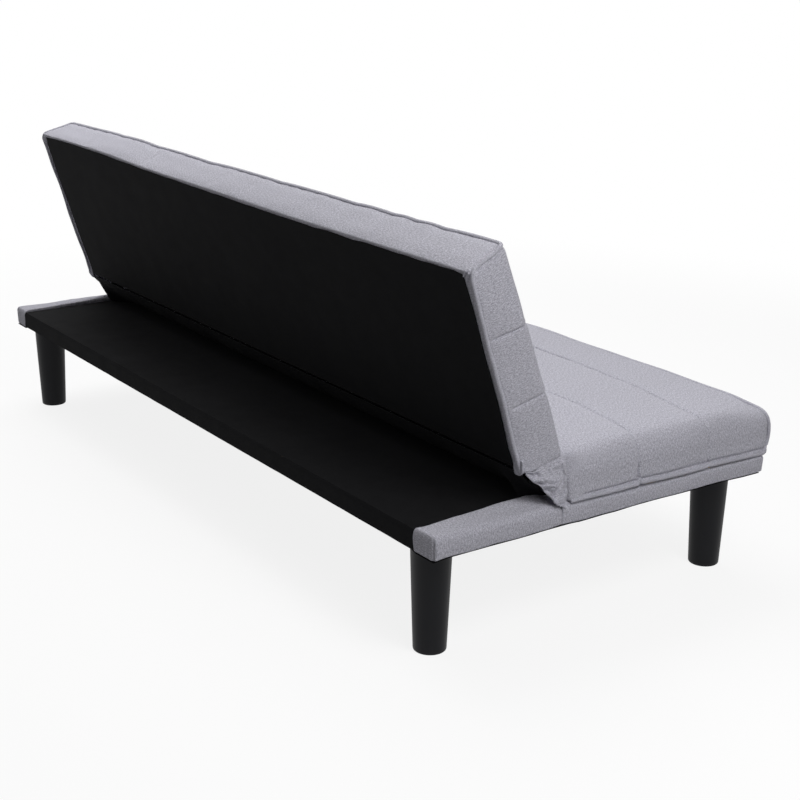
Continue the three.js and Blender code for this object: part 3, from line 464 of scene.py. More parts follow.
materials = {
    "grey": greyClothMaterial("greyHeatherCloth"),
    "trim": greyClothMaterial("greyTrimThread", onObject=True, fleck=0.6),
    "black": blackClothMaterial("blackBackingCloth"),
    "leg": legPlasticMaterial("blackLegPlastic"),
    "timberX": timberMaterial("timberLengthwise", (0, 0, 0)),
    "timberY": timberMaterial("timberCrosswise", (0, 0, math.pi / 2)),
    "board": boardMaterial("hardboardBrown"),
    "painted": steelMaterial("paintedSteelBlack", paintedSteel),
    "bright": steelMaterial("zincedSteel", zincedSteel),
}
print("materials made")


# working with meshes
def readPoints(obj):
    flat = np.empty(len(obj.data.vertices) * 3)
    obj.data.vertices.foreach_get("co", flat)
    return flat.reshape(-1, 3)


def readNormals(obj):
    flat = np.empty(len(obj.data.vertices) * 3, np.float32)
    obj.data.vertices.foreach_get("normal", flat)
    return flat.reshape(-1, 3).astype(float)


def writePoints(obj, points):
    obj.data.vertices.foreach_set("co", np.asarray(points, float).ravel())
    obj.data.update()


def readGrid(obj):
    flat = np.empty(len(obj.data.vertices) * 3, np.float32)
    obj.data.attributes["grid"].data.foreach_get("vector", flat)
    return flat.reshape(-1, 3).astype(float)


def meshObject(name, points, faces, grid=None, faceUvs=None):
    mesh = bpy.data.meshes.new(name)
    mesh.from_pydata([tuple(point) for point in points], [], faces)
    if grid is not None:
        attribute = mesh.attributes.new("grid", "FLOAT_VECTOR", "POINT")
        attribute.data.foreach_set("vector", np.asarray(grid, np.float32).ravel())
    if faceUvs is not None:
        layer = mesh.uv_layers.new(name="cloth")
        layer.data.foreach_set("uv", np.asarray(faceUvs, np.float32).ravel())
    obj = bpy.data.objects.new(name, mesh)
    scene.collection.objects.link(obj)
    return obj


def applyModifiers(obj):
    activate(obj)
    for name in [modifier.name for modifier in obj.modifiers]:
        bpy.ops.object.modifier_apply(modifier=name)


def faceOutwards(obj):
    activate(obj)
    bpy.ops.object.mode_set(mode="EDIT")
    bpy.ops.mesh.select_all(action="SELECT")
    bpy.ops.mesh.normals_make_consistent(inside=False)
    bpy.ops.object.mode_set(mode="OBJECT")


def subdivide(obj, levels=1):
    modifier = obj.modifiers.new("smoother", "SUBSURF")
    modifier.levels = modifier.render_levels = levels
    applyModifiers(obj)


def thicken(obj, thickness, offset=0.0):
    modifier = obj.modifiers.new("thickness", "SOLIDIFY")
    modifier.thickness = thickness
    modifier.offset = offset
    modifier.use_rim = True
    applyModifiers(obj)
    faceOutwards(obj)


def finishPiece(obj, material, smoothAngle=40):
    obj.data.materials.clear()
    obj.data.materials.append(materials[material])
    activate(obj)
    if smoothAngle >= 180:
        bpy.ops.object.shade_smooth()
    else:
        bpy.ops.object.shade_smooth_by_angle(angle=math.radians(smoothAngle))
    return obj


def share(value, low, high):
    return np.clip((np.asarray(value, float) - low) / (high - low), 0, 1)


def smooth(value):
    return value * value * (3 - 2 * value)


def drift(points, size, seed):
    # smooth random waves about that size across, the same each run
    draw = np.random.default_rng(seed)
    total = np.zeros(len(points))
    for _ in range(12):
        way = draw.normal(size=3)
        way /= np.linalg.norm(way)
        pace = 2 * math.pi / (size * draw.uniform(0.7, 1.7))
        total += np.sin(points @ way * pace + draw.uniform(0, 2 * math.pi))
    return total / math.sqrt(12)


def gridStops(low, high, easeLow, easeHigh, cell, marks=()):
    turn = [math.tan(math.radians(45) * part / 3) for part in (3, 2, 1)]
    first = [low + easeLow * (1 - step) for step in turn] if easeLow else []
    last = [high - easeHigh * (1 - step) for step in reversed(turn)] if easeHigh else []
    spots = sorted([low + easeLow, high - easeHigh, *marks])
    inner = []
    for start, end in zip(spots, spots[1:]):
        count = max(1, round((end - start) / cell))
        inner += [start + (end - start) * step / count for step in range(count)]
    return np.array(first + inner + [high - easeHigh] + last)


def skinBox(name, stops, ease, shape):
    # a closed skin on a box's grid stops: edges eased by quarter ellipses, then shaped
    sizes = [len(line) - 1 for line in stops]
    ids, spots, faces, sideOf = {}, [], [], []

    def corner(spot):
        if spot not in ids:
            ids[spot] = len(spots)
            spots.append(spot)
        return ids[spot]

    for axis in range(3):
        a, b = (axis + 1) % 3, (axis + 2) % 3
        for side in (0, sizes[axis]):
            for i in range(sizes[a]):
                for j in range(sizes[b]):
                    ring = []
                    for stepA, stepB in ((0, 0), (1, 0), (1, 1), (0, 1)):
                        spot = [side, side, side]
                        spot[a], spot[b] = i + stepA, j + stepB
                        ring.append(corner(tuple(spot)))
                    faces.append(ring if side else ring[::-1])
                    sideOf.append(axis)
    spots = np.array(spots)
    grid = np.stack([stops[axis][spots[:, axis]] for axis in range(3)], 1)
    facing, radii, held = np.zeros_like(grid), np.zeros_like(grid), np.zeros_like(grid)
    for axis in range(3):
        low, high = ease[axis]
        held[:, axis] = np.clip(grid[:, axis], stops[axis][0] + low, stops[axis][-1] - high)
        radii[:, axis] = np.where(grid[:, axis] < held[:, axis], low, high)
        away = grid[:, axis] - held[:, axis]
        facing[:, axis] = np.where(radii[:, axis] > 0, away / np.maximum(radii[:, axis], 1e-9), 0)
    reach = np.abs(facing).max(1, keepdims=True)
    facing *= reach / np.maximum(np.linalg.norm(facing, axis=1, keepdims=True), 1e-9)
    points = shape(held + facing * radii, facing, grid)
    uvs = []
    top = stops[2][-1]
    for ring, axis in zip(faces, sideOf):
        for index in ring:
            x, y, z = grid[index]
            if axis == 0:
                uvs.append((x + math.copysign(top - z, x), y))
            elif axis == 1:
                uvs.append((x, y + math.copysign(top - z, y)))
            else:
                uvs.append((x, y))
    return meshObject(name, points, faces, grid, uvs)


clothFeel = {"quality": 5, "mass": 0.15, "stretch": 15, "shear": 8, "damping": 15, "air": 3}


def swellCloth(obj, held, cap, growth=0.0, pressure=4.0, bending=1.0, frames=20):
    # Blender's cloth fills the skin out between its held points, none further than cap
    before = readPoints(obj)
    group = obj.vertex_groups.new(name="held")
    group.add([int(index) for index in np.nonzero(held)[0]], 1.0, "REPLACE")
    activate(obj)
    bpy.ops.object.modifier_add(type="CLOTH")
    cloth = obj.modifiers[-1]
    settings = cloth.settings
    settings.quality = clothFeel["quality"]
    settings.mass = clothFeel["mass"]
    settings.tension_stiffness = settings.compression_stiffness = clothFeel["stretch"]
    settings.shear_stiffness = clothFeel["shear"]
    settings.bending_stiffness = bending
    settings.tension_damping = settings.compression_damping = settings.shear_damping = clothFeel["damping"]
    settings.air_damping = clothFeel["air"]
    settings.use_pressure = pressure != 0
    settings.uniform_pressure_force = pressure
    settings.shrink_min = settings.shrink_max = -growth
    settings.vertex_group_mass = "held"
    settings.effector_weights.gravity = 0
    cloth.collision_settings.use_collision = False
    cloth.point_cache.frame_start, cloth.point_cache.frame_end = 1, frames
    for step in range(1, frames + 1):
        scene.frame_set(step)
    bpy.ops.object.modifier_apply(modifier=cloth.name)
    scene.frame_set(1)
    obj.vertex_groups.clear()
    move = readPoints(obj) - before
    far = np.linalg.norm(move, axis=1, keepdims=True)
    writePoints(obj, before + move * np.minimum(1, cap / np.maximum(far, 1e-9)))
    print("  cloth on", obj.name, "moved at most", round(float(far.max()) * 1000, 1), "mm")


def gridPath(obj, chosen, order):
    # the points and normals of a grid line on a skin, in order
    grid = readGrid(obj)
    picked = np.nonzero(chosen(grid))[0]
    picked = picked[np.argsort(order(grid[picked]), kind="stable")]
    return readPoints(obj)[picked], readNormals(obj)[picked]


def lineAt(values, stops, points):
    # points between the points at the stops
    return np.stack([np.interp(values, stops, points[:, axis]) for axis in range(3)], 1)


def resampled(points, normals, step):
    lengths = np.concatenate([[0], np.cumsum(np.linalg.norm(np.diff(points, axis=0), axis=1))])
    count = max(2, int(lengths[-1] / step))
    spots = np.linspace(0, lengths[-1], count)
    line, out = lineAt(spots, lengths, points), lineAt(spots, lengths, normals)
    return line, out / np.linalg.norm(out, axis=1, keepdims=True)


def evened(line, reach, rounds=2):
    # a line of points with its corners rounded over that many points each way
    for _ in range(rounds):
        padded = np.concatenate([np.repeat(line[:1], reach, 0), line, np.repeat(line[-1:], reach, 0)])
        total = np.cumsum(np.concatenate([np.zeros((1, 3)), padded]), axis=0)
        middle = (total[2 * reach + 1:] - total[:-2 * reach - 1]) / (2 * reach + 1)
        edge = np.minimum(np.arange(len(line)), np.arange(len(line))[::-1])[:, None]
        line = np.where(edge < reach, line, middle)
    return line


def laidOn(obj, line, lift):
    # the line moved to lie that far off the skin under it
    spots = []
    for point in line:
        _, place, normal, _ = obj.closest_point_on_mesh(Vector(point))
        spots.append(place + normal * lift)
    return np.array(spots)


def joined(name, parts):
    deselectAll()
    for part in parts:
        part.select_set(True)
    bpy.context.view_layer.objects.active = parts[0]
    bpy.ops.object.join()
    parts[0].name = parts[0].data.name = name
    return parts[0]


def cordedEdge(name, points, radius, closed=False):
    # self-fabric piping: a covered cord along a line of points
    bpy.ops.curve.primitive_bezier_curve_add()
    obj = bpy.context.object
    obj.name = name
    curve = obj.data
    curve.splines.clear()
    spline = curve.splines.new("POLY")
    spline.points.add(len(points) - 1)
    spline.points.foreach_set("co", np.c_[points, np.ones(len(points))].ravel())
    spline.use_cyclic_u = closed
    curve.dimensions = "3D"
    curve.bevel_depth = radius
    curve.bevel_resolution = 3
    curve.use_fill_caps = True
    activate(obj)
    bpy.ops.object.convert(target="MESH")
    obj = bpy.context.object
    for layer in list(obj.data.uv_layers):
        obj.data.uv_layers.remove(layer)
    return obj


def threadFaces(start):
    # the sides and the two ends of a stitch made of four rings of four points
    faces = []
    for low in (start, start + 4, start + 8):
        for turn in range(4):
            after = (turn + 1) % 4
            faces.append([low + turn, low + after, low + 4 + after, low + 4 + turn])
    faces.append([start + turn for turn in (3, 2, 1, 0)])
    faces.append([start + turn for turn in (12, 13, 14, 15)])
    return faces


def threadObject(name, rings, starts):
    obj = meshObject(name, rings, [face for start in starts for face in threadFaces(start)])
    faceOutwards(obj)
    return obj


seamThread = {"length": 0.0034, "gap": 0.0014, "width": 0.00045, "lifts": (-0.4, 0.5, 0.5, -0.4)}


def stitches(name, points, normals):
    # short stitches that dip into the cloth at both ends
    width = seamThread["width"]
    line, out = resampled(points, normals, (seamThread["length"] + seamThread["gap"]) / 4)
    rings = []
    for first in range(0, len(line) - 4, 4):
        along = line[first + 3] - line[first]
        along /= np.linalg.norm(along)
        for step, lift in enumerate(seamThread["lifts"]):
            up = out[first + step]
            side = np.cross(along, up)
            middle = line[first + step] + up * lift * width
            for turn in range(4):
                angle = turn * math.pi / 2
                rings.append(middle + width * (side * math.cos(angle) + up * math.sin(angle)))
    return threadObject(name, rings, range(0, len(rings), 16))


def clothPatch(name, columns, rows, place, flat):
    # an open cloth over two shares, with its threads' directions as the UV map
    across, along = np.meshgrid(np.linspace(0, 1, columns + 1), np.linspace(0, 1, rows + 1), indexing="ij")
    across, along = across.ravel(), along.ravel()
    points = np.stack(np.broadcast_arrays(*place(across, along)), 1)
    corners = [column * (rows + 1) + row for column in range(columns) for row in range(rows)]
    faces = [[first, first + rows + 1, first + rows + 2, first + 1] for first in corners]
    uv = np.stack([across * flat[0], along * flat[1]], 1)
    uvs = uv[np.array(faces).ravel()]
    return meshObject(name, points, faces, np.c_[across, along, np.zeros(len(across))], uvs)


# seat cushion
seatCushion = {
    "end": 0.8355, "front": -0.366, "rear": 0.118, "bottom": 0.2284, "top": 0.3058,
    "easeEnd": 0.030, "easeFront": 0.024, "easeRear": 0.040, "easeTop": 0.034,
    "crown": 0.0055, "bandCrown": 0.0008, "swell": 0.001, "frontSwell": 0.0012, "tuck": 0.007,
    "flare": 0.0055, "pull": 0.0054, "rearCorner": (0.0066, 0.0025), "cornerDrop": 0.0085,
    "lowLine": (  # height of the sewn lower edge of an end along its depth
        (-0.360, 0.2200), (-0.332, 0.2215), (-0.304, 0.2232), (-0.266, 0.2248), (-0.200, 0.2256),
        (-0.157, 0.2260), (-0.121, 0.2276), (-0.052, 0.2286), (0.0, 0.2283), (0.048, 0.2290),
        (0.081, 0.2300), (0.116, 0.2316)),
    "bow": (  # how far the front and the rear seam run forward of their ends, by distance from the middle
        (0.0, -0.034, -0.029), (0.450, -0.034, -0.029), (0.560, -0.025, -0.029), (0.650, -0.020, -0.027),
        (0.700, -0.011, -0.021), (0.740, -0.003, -0.017), (0.780, 0.003, -0.010), (0.815, 0.004, -0.003),
        (0.832, 0.0, 0.0)),
    "seams": (-0.2039, -0.0417), "seamDip": 0.0027, "seamHalf": 0.0034, "pucker": 0.0004,
    "cell": 0.0125, "cap": 0.0016, "growth": 0.003, "pressure": 2.0, "bending": 0.6,
    "piping": 0.0033, "lowPiping": 0.0041,
    "groove": (0.0054, 0.0019), "lowMarks": (0.0018, 0.0036, 0.0054, 0.0072, 0.0096),  # above the bottom
    "lowShare": 0.35,  # the part of the height over which the foot flares
    "squareUnder": (0.262, 0.285), "squareFrom": (0.070, 0.078), "drawnHard": 2.4,
    "edgeWave": 0.0008, "wrinkle": 0.0007,
}


def crownOver(values, edges, power=4):
    # 1 in the middle of each band between edges, falling to 0 at them
    crown = np.zeros(len(values))
    for low, high in zip(edges, edges[1:]):
        inside = (values >= low) & (values <= high)
        crown = np.where(inside, 1 - ((values - (low + high) / 2) / ((high - low) / 2)) ** power, crown)
    return crown


def crownLine(values, stops):
    # 1 at the middle stop, falling evenly to 0 at the two others
    return share(values, stops[0], stops[1]) * (1 - share(values, stops[1], stops[2]))


seamSteps = (-0.005, -0.0016, 0, 0.0016, 0.005)  # grid lines beside a seam
bothSides = (("left", 1), ("right", -1))  # with the sign of x


def seatShape(points, facing, grid):
    seat = seatCushion
    x, y, z = points.T.copy()
    outX, outY, outZ = facing.T
    rise = share(z, seat["bottom"], seat["top"])
    edges = [seat["front"], *seat["seams"], seat["rear"]]
    places, frontBow, rearBow = zip(*seat["bow"])
    frontBow, rearBow = np.interp(np.abs(x), places, frontBow), np.interp(np.abs(x), places, rearBow)
    toRear = share(y, seat["seams"][0], seat["seams"][1])
    onBow = share(y, seat["front"], seat["seams"][0]) * (1 - share(y, seat["seams"][1], seat["rear"]))
    bowed = (frontBow * (1 - toRear) + rearBow * toRear) * onBow
    whole = crownOver(y, (seat["front"], seat["rear"])) * crownOver(x, (-seat["end"], seat["end"]), 12)
    crown = seat["crown"] * whole + seat["bandCrown"] * crownOver(y, edges)
    z = z + crown * np.maximum(outZ, 0) ** 2
    end = np.abs(outX)
    side = np.sign(x)
    low = (1 - share(rise, 0, seat["lowShare"])) ** 2
    # the cloth is drawn in just above the piping sewn to its lower edge
    grooveUp, grooveHalf = seat["groove"]
    drawn = seat["pull"] * np.exp(-((z - seat["bottom"] - grooveUp) / grooveHalf) ** 2)
    x = x + side * end ** 2 * (seat["swell"] * np.sin(math.pi * rise) + seat["flare"] * low - drawn)
    y = y + np.maximum(-outY, 0) ** 2 * drawn
    forward = np.maximum(-outY, 0)
    y = y - forward ** 2 * seat["frontSwell"] * np.sin(math.pi * share(rise, -0.25, 0.9))
    y = y + forward * seat["tuck"] * low
    lowZ = np.interp(y, *zip(*seat["lowLine"]))
    z = z + (lowZ - seat["bottom"]) * np.maximum(end ** 6, forward ** 2) * low
    frontCorner = smooth(share(np.abs(x), 0.72, 0.83)) * smooth(share(-y, 0.24, 0.355))
    z = z - seat["cornerDrop"] * frontCorner * rise ** 2
    # the rear corners are square in plan, as they are below the backrest's end
    square = (1 - smooth(share(z, *seat["squareUnder"]))) * share(grid[:, 1], *seat["squareFrom"])
    atCorner = (np.abs(outX) > 0) & (outY > 0)
    square = np.where(atCorner, square, 0)
    endFace = np.isclose(np.abs(grid[:, 0]), seat["end"])
    rearFace = np.isclose(grid[:, 1], seat["rear"])
    goalX = np.where(endFace, side * (seat["end"] + seat["flare"] * low), grid[:, 0])
    goalY = np.where(rearFace, seat["rear"], grid[:, 1])
    x = np.where(endFace | rearFace, x + (goalX - x) * square, x)
    y = np.where(endFace | rearFace, y + (goalY - y) * square, y)
    corner = smooth(share(grid[:, 1], 0.085, seat["rear"])) * smooth(share(np.abs(x), 0.800, 0.832))
    y = y - corner * (seat["rearCorner"][0] + seat["rearCorner"][1] * low)
    y = y + bowed * np.maximum(outZ, 0)
    # the sewn lower edges wander a little
    wave = drift(np.stack([x, y, np.zeros(len(x))], 1), 0.11, 3) * seat["edgeWave"]
    z = z + wave * np.maximum(end ** 6, forward ** 2) * low
    return np.stack([x, y, z], 1)


def pinchSeams(obj, piece, inward):
    # the stitched lines pull the cover in, with small puckers beside them
    grid, points, normals = readGrid(obj), readPoints(obj), readNormals(obj)
    dip, half = piece["seamDip"], piece["seamHalf"]
    away = np.min([np.abs(grid[:, 1] - seam) for seam in piece["seams"]], axis=0)
    near = np.clip(1 - away / half, 0, 1)
    beside = np.exp(-((away - half * 1.2) / (half * 1.1)) ** 2)
    ripple = drift(points, 0.022, 11) * beside * piece["pucker"]
    writePoints(obj, points - normals * ((near ** 1.5 * dip - ripple) * inward(grid))[:, None])


def buildSeatCushion():
    seat = seatCushion
    marks = [seam + step for seam in seat["seams"] for step in seamSteps]
    stops = [
        gridStops(-seat["end"], seat["end"], seat["easeEnd"], seat["easeEnd"], seat["cell"]),
        gridStops(seat["front"], seat["rear"], seat["easeFront"], seat["easeRear"], seat["cell"], marks),
        gridStops(seat["bottom"], seat["top"], 0, seat["easeTop"], 0.009,
                  [seat["bottom"] + step for step in seat["lowMarks"]]),
    ]
    ease = ((seat["easeEnd"],) * 2, (seat["easeFront"], seat["easeRear"]), (0, seat["easeTop"]))
    cushion = skinBox("seat_cushion_cover", stops, ease, seatShape)
    grid = readGrid(cushion)
    atEnd = np.isclose(np.abs(grid[:, 0]), seat["end"])
    atFront = np.isclose(grid[:, 1], seat["front"])
    atTop = np.isclose(grid[:, 2], seat["top"])
    atBottom = np.isclose(grid[:, 2], seat["bottom"])
    atRear = np.isclose(grid[:, 1], seat["rear"])
    onSeam = np.any([np.isclose(grid[:, 1], seam) for seam in seat["seams"]], axis=0) & ~atFront
    held = atBottom | atRear | (onSeam & (atTop | atEnd)) | (atFront & (atTop | atEnd))
    swellCloth(cushion, held, seat["cap"], seat["growth"], seat["pressure"], seat["bending"])
    subdivide(cushion)

    def drawnIn(grid):
        # the rear seam is drawn in hardest where it meets the end's lower edge
        onEnd = np.isclose(np.abs(grid[:, 0]), seat["end"])
        hard = seat["drawnHard"] * onEnd * (grid[:, 1] > -0.1) * (1 - smooth(share(grid[:, 2], 0.240, 0.268)))
        return (np.isclose(grid[:, 2], seat["top"]) | onEnd) * (1 + hard)

    pinchSeams(cushion, seat, drawnIn)
    points = readPoints(cushion)
    normals = readNormals(cushion)
    soft = share(points[:, 2], 0.232, 0.262)
    writePoints(cushion, points + normals * (drift(points, 0.17, 5) * seat["wrinkle"] * soft)[:, None])
    finishPiece(cushion, "grey", 180)
    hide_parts("seat_cushion")
    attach(cushion, "base")

    parts, radius = [], seat["piping"]
    topZ, frontY, endX = seat["top"], seat["front"], seat["end"]
    isTop = lambda grid: np.isclose(grid[:, 2], topZ)
    isFront = lambda grid: np.isclose(grid[:, 1], frontY)
    isEnd = lambda grid: np.isclose(np.abs(grid[:, 0]), endX)
    wrap = lambda grid: grid[:, 0] + np.sign(grid[:, 0]) * (topZ - grid[:, 2])
    points, normals = gridPath(cushion, lambda g: isFront(g) & (isTop(g) | isEnd(g)), wrap)
    line, out = resampled(points, normals, 0.006)
    # along the top it lies back from the rounded edge
    onTop = smooth(share(line[:, 2], 0.286, 0.304))[:, None]
    upright = line + out * radius * 1.05
    along = laidOn(cushion, line + out * radius * 0.45 + onTop * (0, 0.0110, 0.0075), radius * 0.7)
    line = evened(upright * (1 - onTop) + along * onTop, 2, 1)
    parts.append(cordedEdge("front_piping", line, radius))
    isLow = lambda grid: np.isclose(grid[:, 2], seat["bottom"])
    backwards = lambda grid: np.sign(grid[:, 0]) * (endX + grid[:, 1] - frontY)
    lowPath = lambda grid: np.where(isFront(grid), grid[:, 0], backwards(grid))
    points, normals = gridPath(cushion, lambda g: isLow(g) & (isFront(g) | isEnd(g)), lowPath)
    line, out = resampled(points, normals, 0.006)
    flat = out * (1, 1, 0)
    line += flat * seat["lowPiping"] * 0.35
    parts.append(cordedEdge("lower_piping", line, seat["lowPiping"]))
    piping = finishPiece(joined("seat_piping", parts), "trim", 60)
    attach(piping, "base")

    lines = []
    for seam in seat["seams"]:
        onLine = lambda grid: np.isclose(grid[:, 1], seam, atol=1e-5) & (isTop(grid) | isEnd(grid))
        points, normals = gridPath(cushion, onLine, wrap)
        lines.append(stitches("seat_seam", points, normals))
    thread = finishPiece(joined("seat_stitching", lines), "trim", 60)
    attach(thread, "base")
    print("seat cushion made")


buildSeatCushion()


# backrest, built lying flat and then turned up to its place at rest
backrest = {
    "pivot": (0.0, 0.140, 0.278), "turn": 72.5,
    "half": 0.8202, "bottom": 0.006, "top": 0.3855, "rear": -0.0475, "front": 0.032,
    "easeEnd": 0.020, "easeEdge": 0.012, "easeRear": 0.006, "easeLow": 0.006, "squareRear": 0.4,
    "crown": 0.0040, "bandCrown": 0.0008, "taperTop": 0.014, "taperFront": 0.006, "taperZone": 0.060,
    "slantRise": 0.023, "slantZone": 0.070, "slantLess": 0.010,
    "gussetSeam": (  # height of the seam under an end, by depth
        (-0.0446, 0.0265), (-0.0268, 0.0177), (-0.0102, 0.0187), (0.0191, 0.0164), (0.0330, 0.0171)),
    "rearInset": (  # how far the piped rear edge of an end is drawn in, by height
        (0.006, 0.0020), (0.036, 0.0030), (0.060, 0.0066), (0.085, 0.0068), (0.112, 0.0036), (0.1375, 0.0022),
        (0.162, 0.0026), (0.187, 0.0022), (0.210, 0.0044), (0.235, 0.0060), (0.262, 0.0052), (0.282, 0.0036),
        (0.3065, 0.0005), (0.386, 0.0)),
    "frontFull": ((0.0, 0.0062), (0.10, 0.0060), (0.16, 0.0040), (0.26, 0.0012), (0.386, 0.0)),
    "seamSlant": (0.0055, -0.0055), "strip": (0.0020, 0.7965, 0.8055),
    "rollIn": 0.0042, "rollZone": 0.005,
    "crease": ((-0.0475, 0.0345), (-0.0190, 0.0245)), "creaseDip": 0.0013, "creaseHalf": 0.0026,
    "topFall": (  # how far the rear edge of the top stands off its nominal height along the back
        (-0.82, -0.0100), (-0.30, -0.0100), (-0.19, -0.0085), (-0.10, -0.0073), (0.0, -0.0056),
        (0.20, -0.0040), (0.43, -0.0013), (0.56, 0.0), (0.70, 0.0030), (0.82, 0.0030)),
    "topLift": ((-0.82, 0.0), (0.30, 0.0), (0.43, 0.0045), (0.56, 0.0045), (0.72, 0.0010), (0.82, 0.0)),
    "seams": (0.1322, 0.2580), "seamDip": 0.0025, "seamHalf": 0.0034, "pucker": 0.0004,
    "cell": 0.0125, "cap": 0.0016, "growth": 0.003, "pressure": 2.0, "bending": 0.6, "wrinkle": 0.0008,
    "piping": 0.0036, "pipingEnd": 0.026, "lowMarks": [0.0145, 0.019, 0.024, 0.029, 0.035, 0.042],
    "tab": {
        "ends": (0.7990, 0.8230), "low": 0.0195, "high": 0.0480,
        "turnUp": 0.0100, "lean": 0.0030, "curl": 0.0010},
    "pleats": (
        ((0.8040, 0.3735), (0.8005, 0.3705), (0.7965, 0.3660), (0.7945, 0.3600)),
        ((0.7985, 0.3765), (0.7945, 0.3730), (0.7905, 0.3690), (0.7885, 0.3650))),
    "pleatRadius": 0.0015,
    "dips": (-0.647, -0.577, -0.509, -0.396, -0.146, 0.123, 0.354, 0.516), "dipDepth": 0.0032,
}
toRest = Matrix.Translation(backrest["pivot"]) @ Matrix.Rotation(math.radians(backrest["turn"]), 4, "X")


def endInset(x, up, forward):
    back = backrest
    near = share(np.abs(x), back["half"] - back["taperZone"], back["half"])
    return near * up ** 2 * (back["taperTop"] + back["taperFront"] * forward)


def backShape(points, facing, grid):
    back = backrest
    x, y, z = points.T.copy()
    outX, outY, outZ = facing.T
    up = share(y, back["bottom"], back["top"])
    forward = share(z, back["rear"], back["front"])
    nearEdge = smooth(share(np.abs(x), back["half"] - 0.060, back["half"] - 0.010))
    # the ends are square at the piped rear edge and round at the front edge
    inner = back["half"] - back["easeEnd"]
    past = np.clip(np.abs(x) - inner, 0, back["easeEnd"]) / back["easeEnd"]
    fuller = past ** (0.62 + 0.38 * smooth(share(y, 0.10, 0.36)))
    squared = np.where(outZ < 0, past ** back["squareRear"], fuller)
    x = np.where(past > 0, np.sign(x) * (inner + back["easeEnd"] * squared), x)
    # the top turns sharply into the rear face
    below = back["top"] - back["easeEdge"]
    past = np.clip(y - below, 0, back["easeEdge"]) / back["easeEdge"]
    y = np.where((past > 0) & (outZ < 0), below + back["easeEdge"] * past ** back["squareRear"], y)
    lowSlant = back["seamSlant"][0] * (1 - forward) * nearEdge
    highSlant = back["seamSlant"][1] * forward * nearEdge
    stopsY = (back["bottom"], *back["seams"], back["top"])
    y = y + lowSlant * crownLine(y, stopsY[:3]) + highSlant * crownLine(y, stopsY[1:])
    whole = crownOver(y, (back["bottom"], back["top"])) * crownOver(x, (-back["half"], back["half"]), 12)
    crown = back["crown"] * whole + back["bandCrown"] * crownOver(y, stopsY)
    z = z + crown * np.maximum(outZ, 0) ** 2
    x = x - np.sign(x) * endInset(x, up, forward)
    nearEnd = smooth(share(np.abs(x), back["half"] - 0.045, back["half"] - 0.005))
    x = x - np.sign(x) * nearEnd * (1 - forward) ** 2 * np.interp(y, *zip(*back["rearInset"]))
    z = z + nearEnd * forward ** 3 * np.interp(y, *zip(*back["frontFull"]))
    # the strip between the black cloth and the piping lies sunk
    sunk, stripLow, stripHigh = back["strip"]
    onStrip = smooth(share(np.abs(x), stripLow - 0.004, stripLow))
    onStrip *= 1 - smooth(share(np.abs(x), stripHigh, stripHigh + 0.004))
    z = z + sunk * onStrip * (outZ < -0.5) * (1 - share(y, back["top"] - 0.03, back["top"] - 0.01))
    lowPart = 1 - share(y, back["bottom"], back["bottom"] + back["slantZone"])
    slant = back["slantRise"] - back["slantLess"] * smooth(share(np.abs(x), 0.8125, 0.8175))
    y = y + lowPart * slant * (1 - share(z, back["rear"], back["front"] - back["easeEdge"]))
    # below the gusset's seam the ends roll in
    seamY = np.interp(z, *zip(*back["gussetSeam"]))
    x = x - np.sign(x) * np.abs(outX) ** 2 * back["rollIn"] * smooth(share(seamY - y, 0, back["rollZone"]))
    creaseY = np.interp(z, *zip(*back["crease"]))
    creased = np.exp(-((y - creaseY) / back["creaseHalf"]) ** 2) * (1 - smooth(share(z, -0.026, -0.012)))
    x = x - np.sign(x) * np.abs(outX) ** 2 * back["creaseDip"] * creased
    # the sewn upper front edge is drawn down at the dips
    nearTop = share(grid[:, 1], back["top"] - 0.03, back["top"]) * share(grid[:, 2], 0.0, back["front"])
    stops = np.array([-back["half"], *back["dips"], back["half"]])
    slot = np.clip(np.searchsorted(stops, x) - 1, 0, len(stops) - 2)
    part = share(x, stops[slot], stops[slot + 1])
    arch = np.sin(math.pi * part) ** 0.55
    y = y + nearTop * back["dipDepth"] * (arch - 0.5)
    high = smooth(share(grid[:, 1], back["top"] - 0.05, back["top"]))
    y = y + high * np.interp(x, *zip(*back["topLift"]))
    y = y + high * (1 - forward) ** 1.4 * np.interp(x, *zip(*back["topFall"]))
    return np.stack([x, y, z], 1)


def stripTab(sign):
    tab = backrest["tab"]
    rear, low, high = backrest["rear"], tab["low"], tab["high"]

    def folded(points, facing, grid):
        x, y, z = points.T
        outer = share(np.abs(x), tab["ends"][1] - 0.010, tab["ends"][1])
        up = tab["turnUp"] * outer * share(-y, -0.040, -low)
        off = tab["lean"] * share(y, 0.030, high - 0.002) - tab["curl"] * share(-y, -0.030, -low)
        return np.stack([x, y + up, z + off], 1)

    stops = [
        gridStops(*sorted(sign * x for x in tab["ends"]), 0.004, 0.004, 0.004),
        gridStops(low, high, 0.003, 0.003, 0.006),
        gridStops(rear - 0.0022, rear + 0.002, 0.0012, 0.0012, 0.002),
    ]
    made = skinBox("strip_tab", stops, ((0.004,) * 2, (0.003,) * 2, (0.0012,) * 2), folded)
    subdivide(made)
    return made


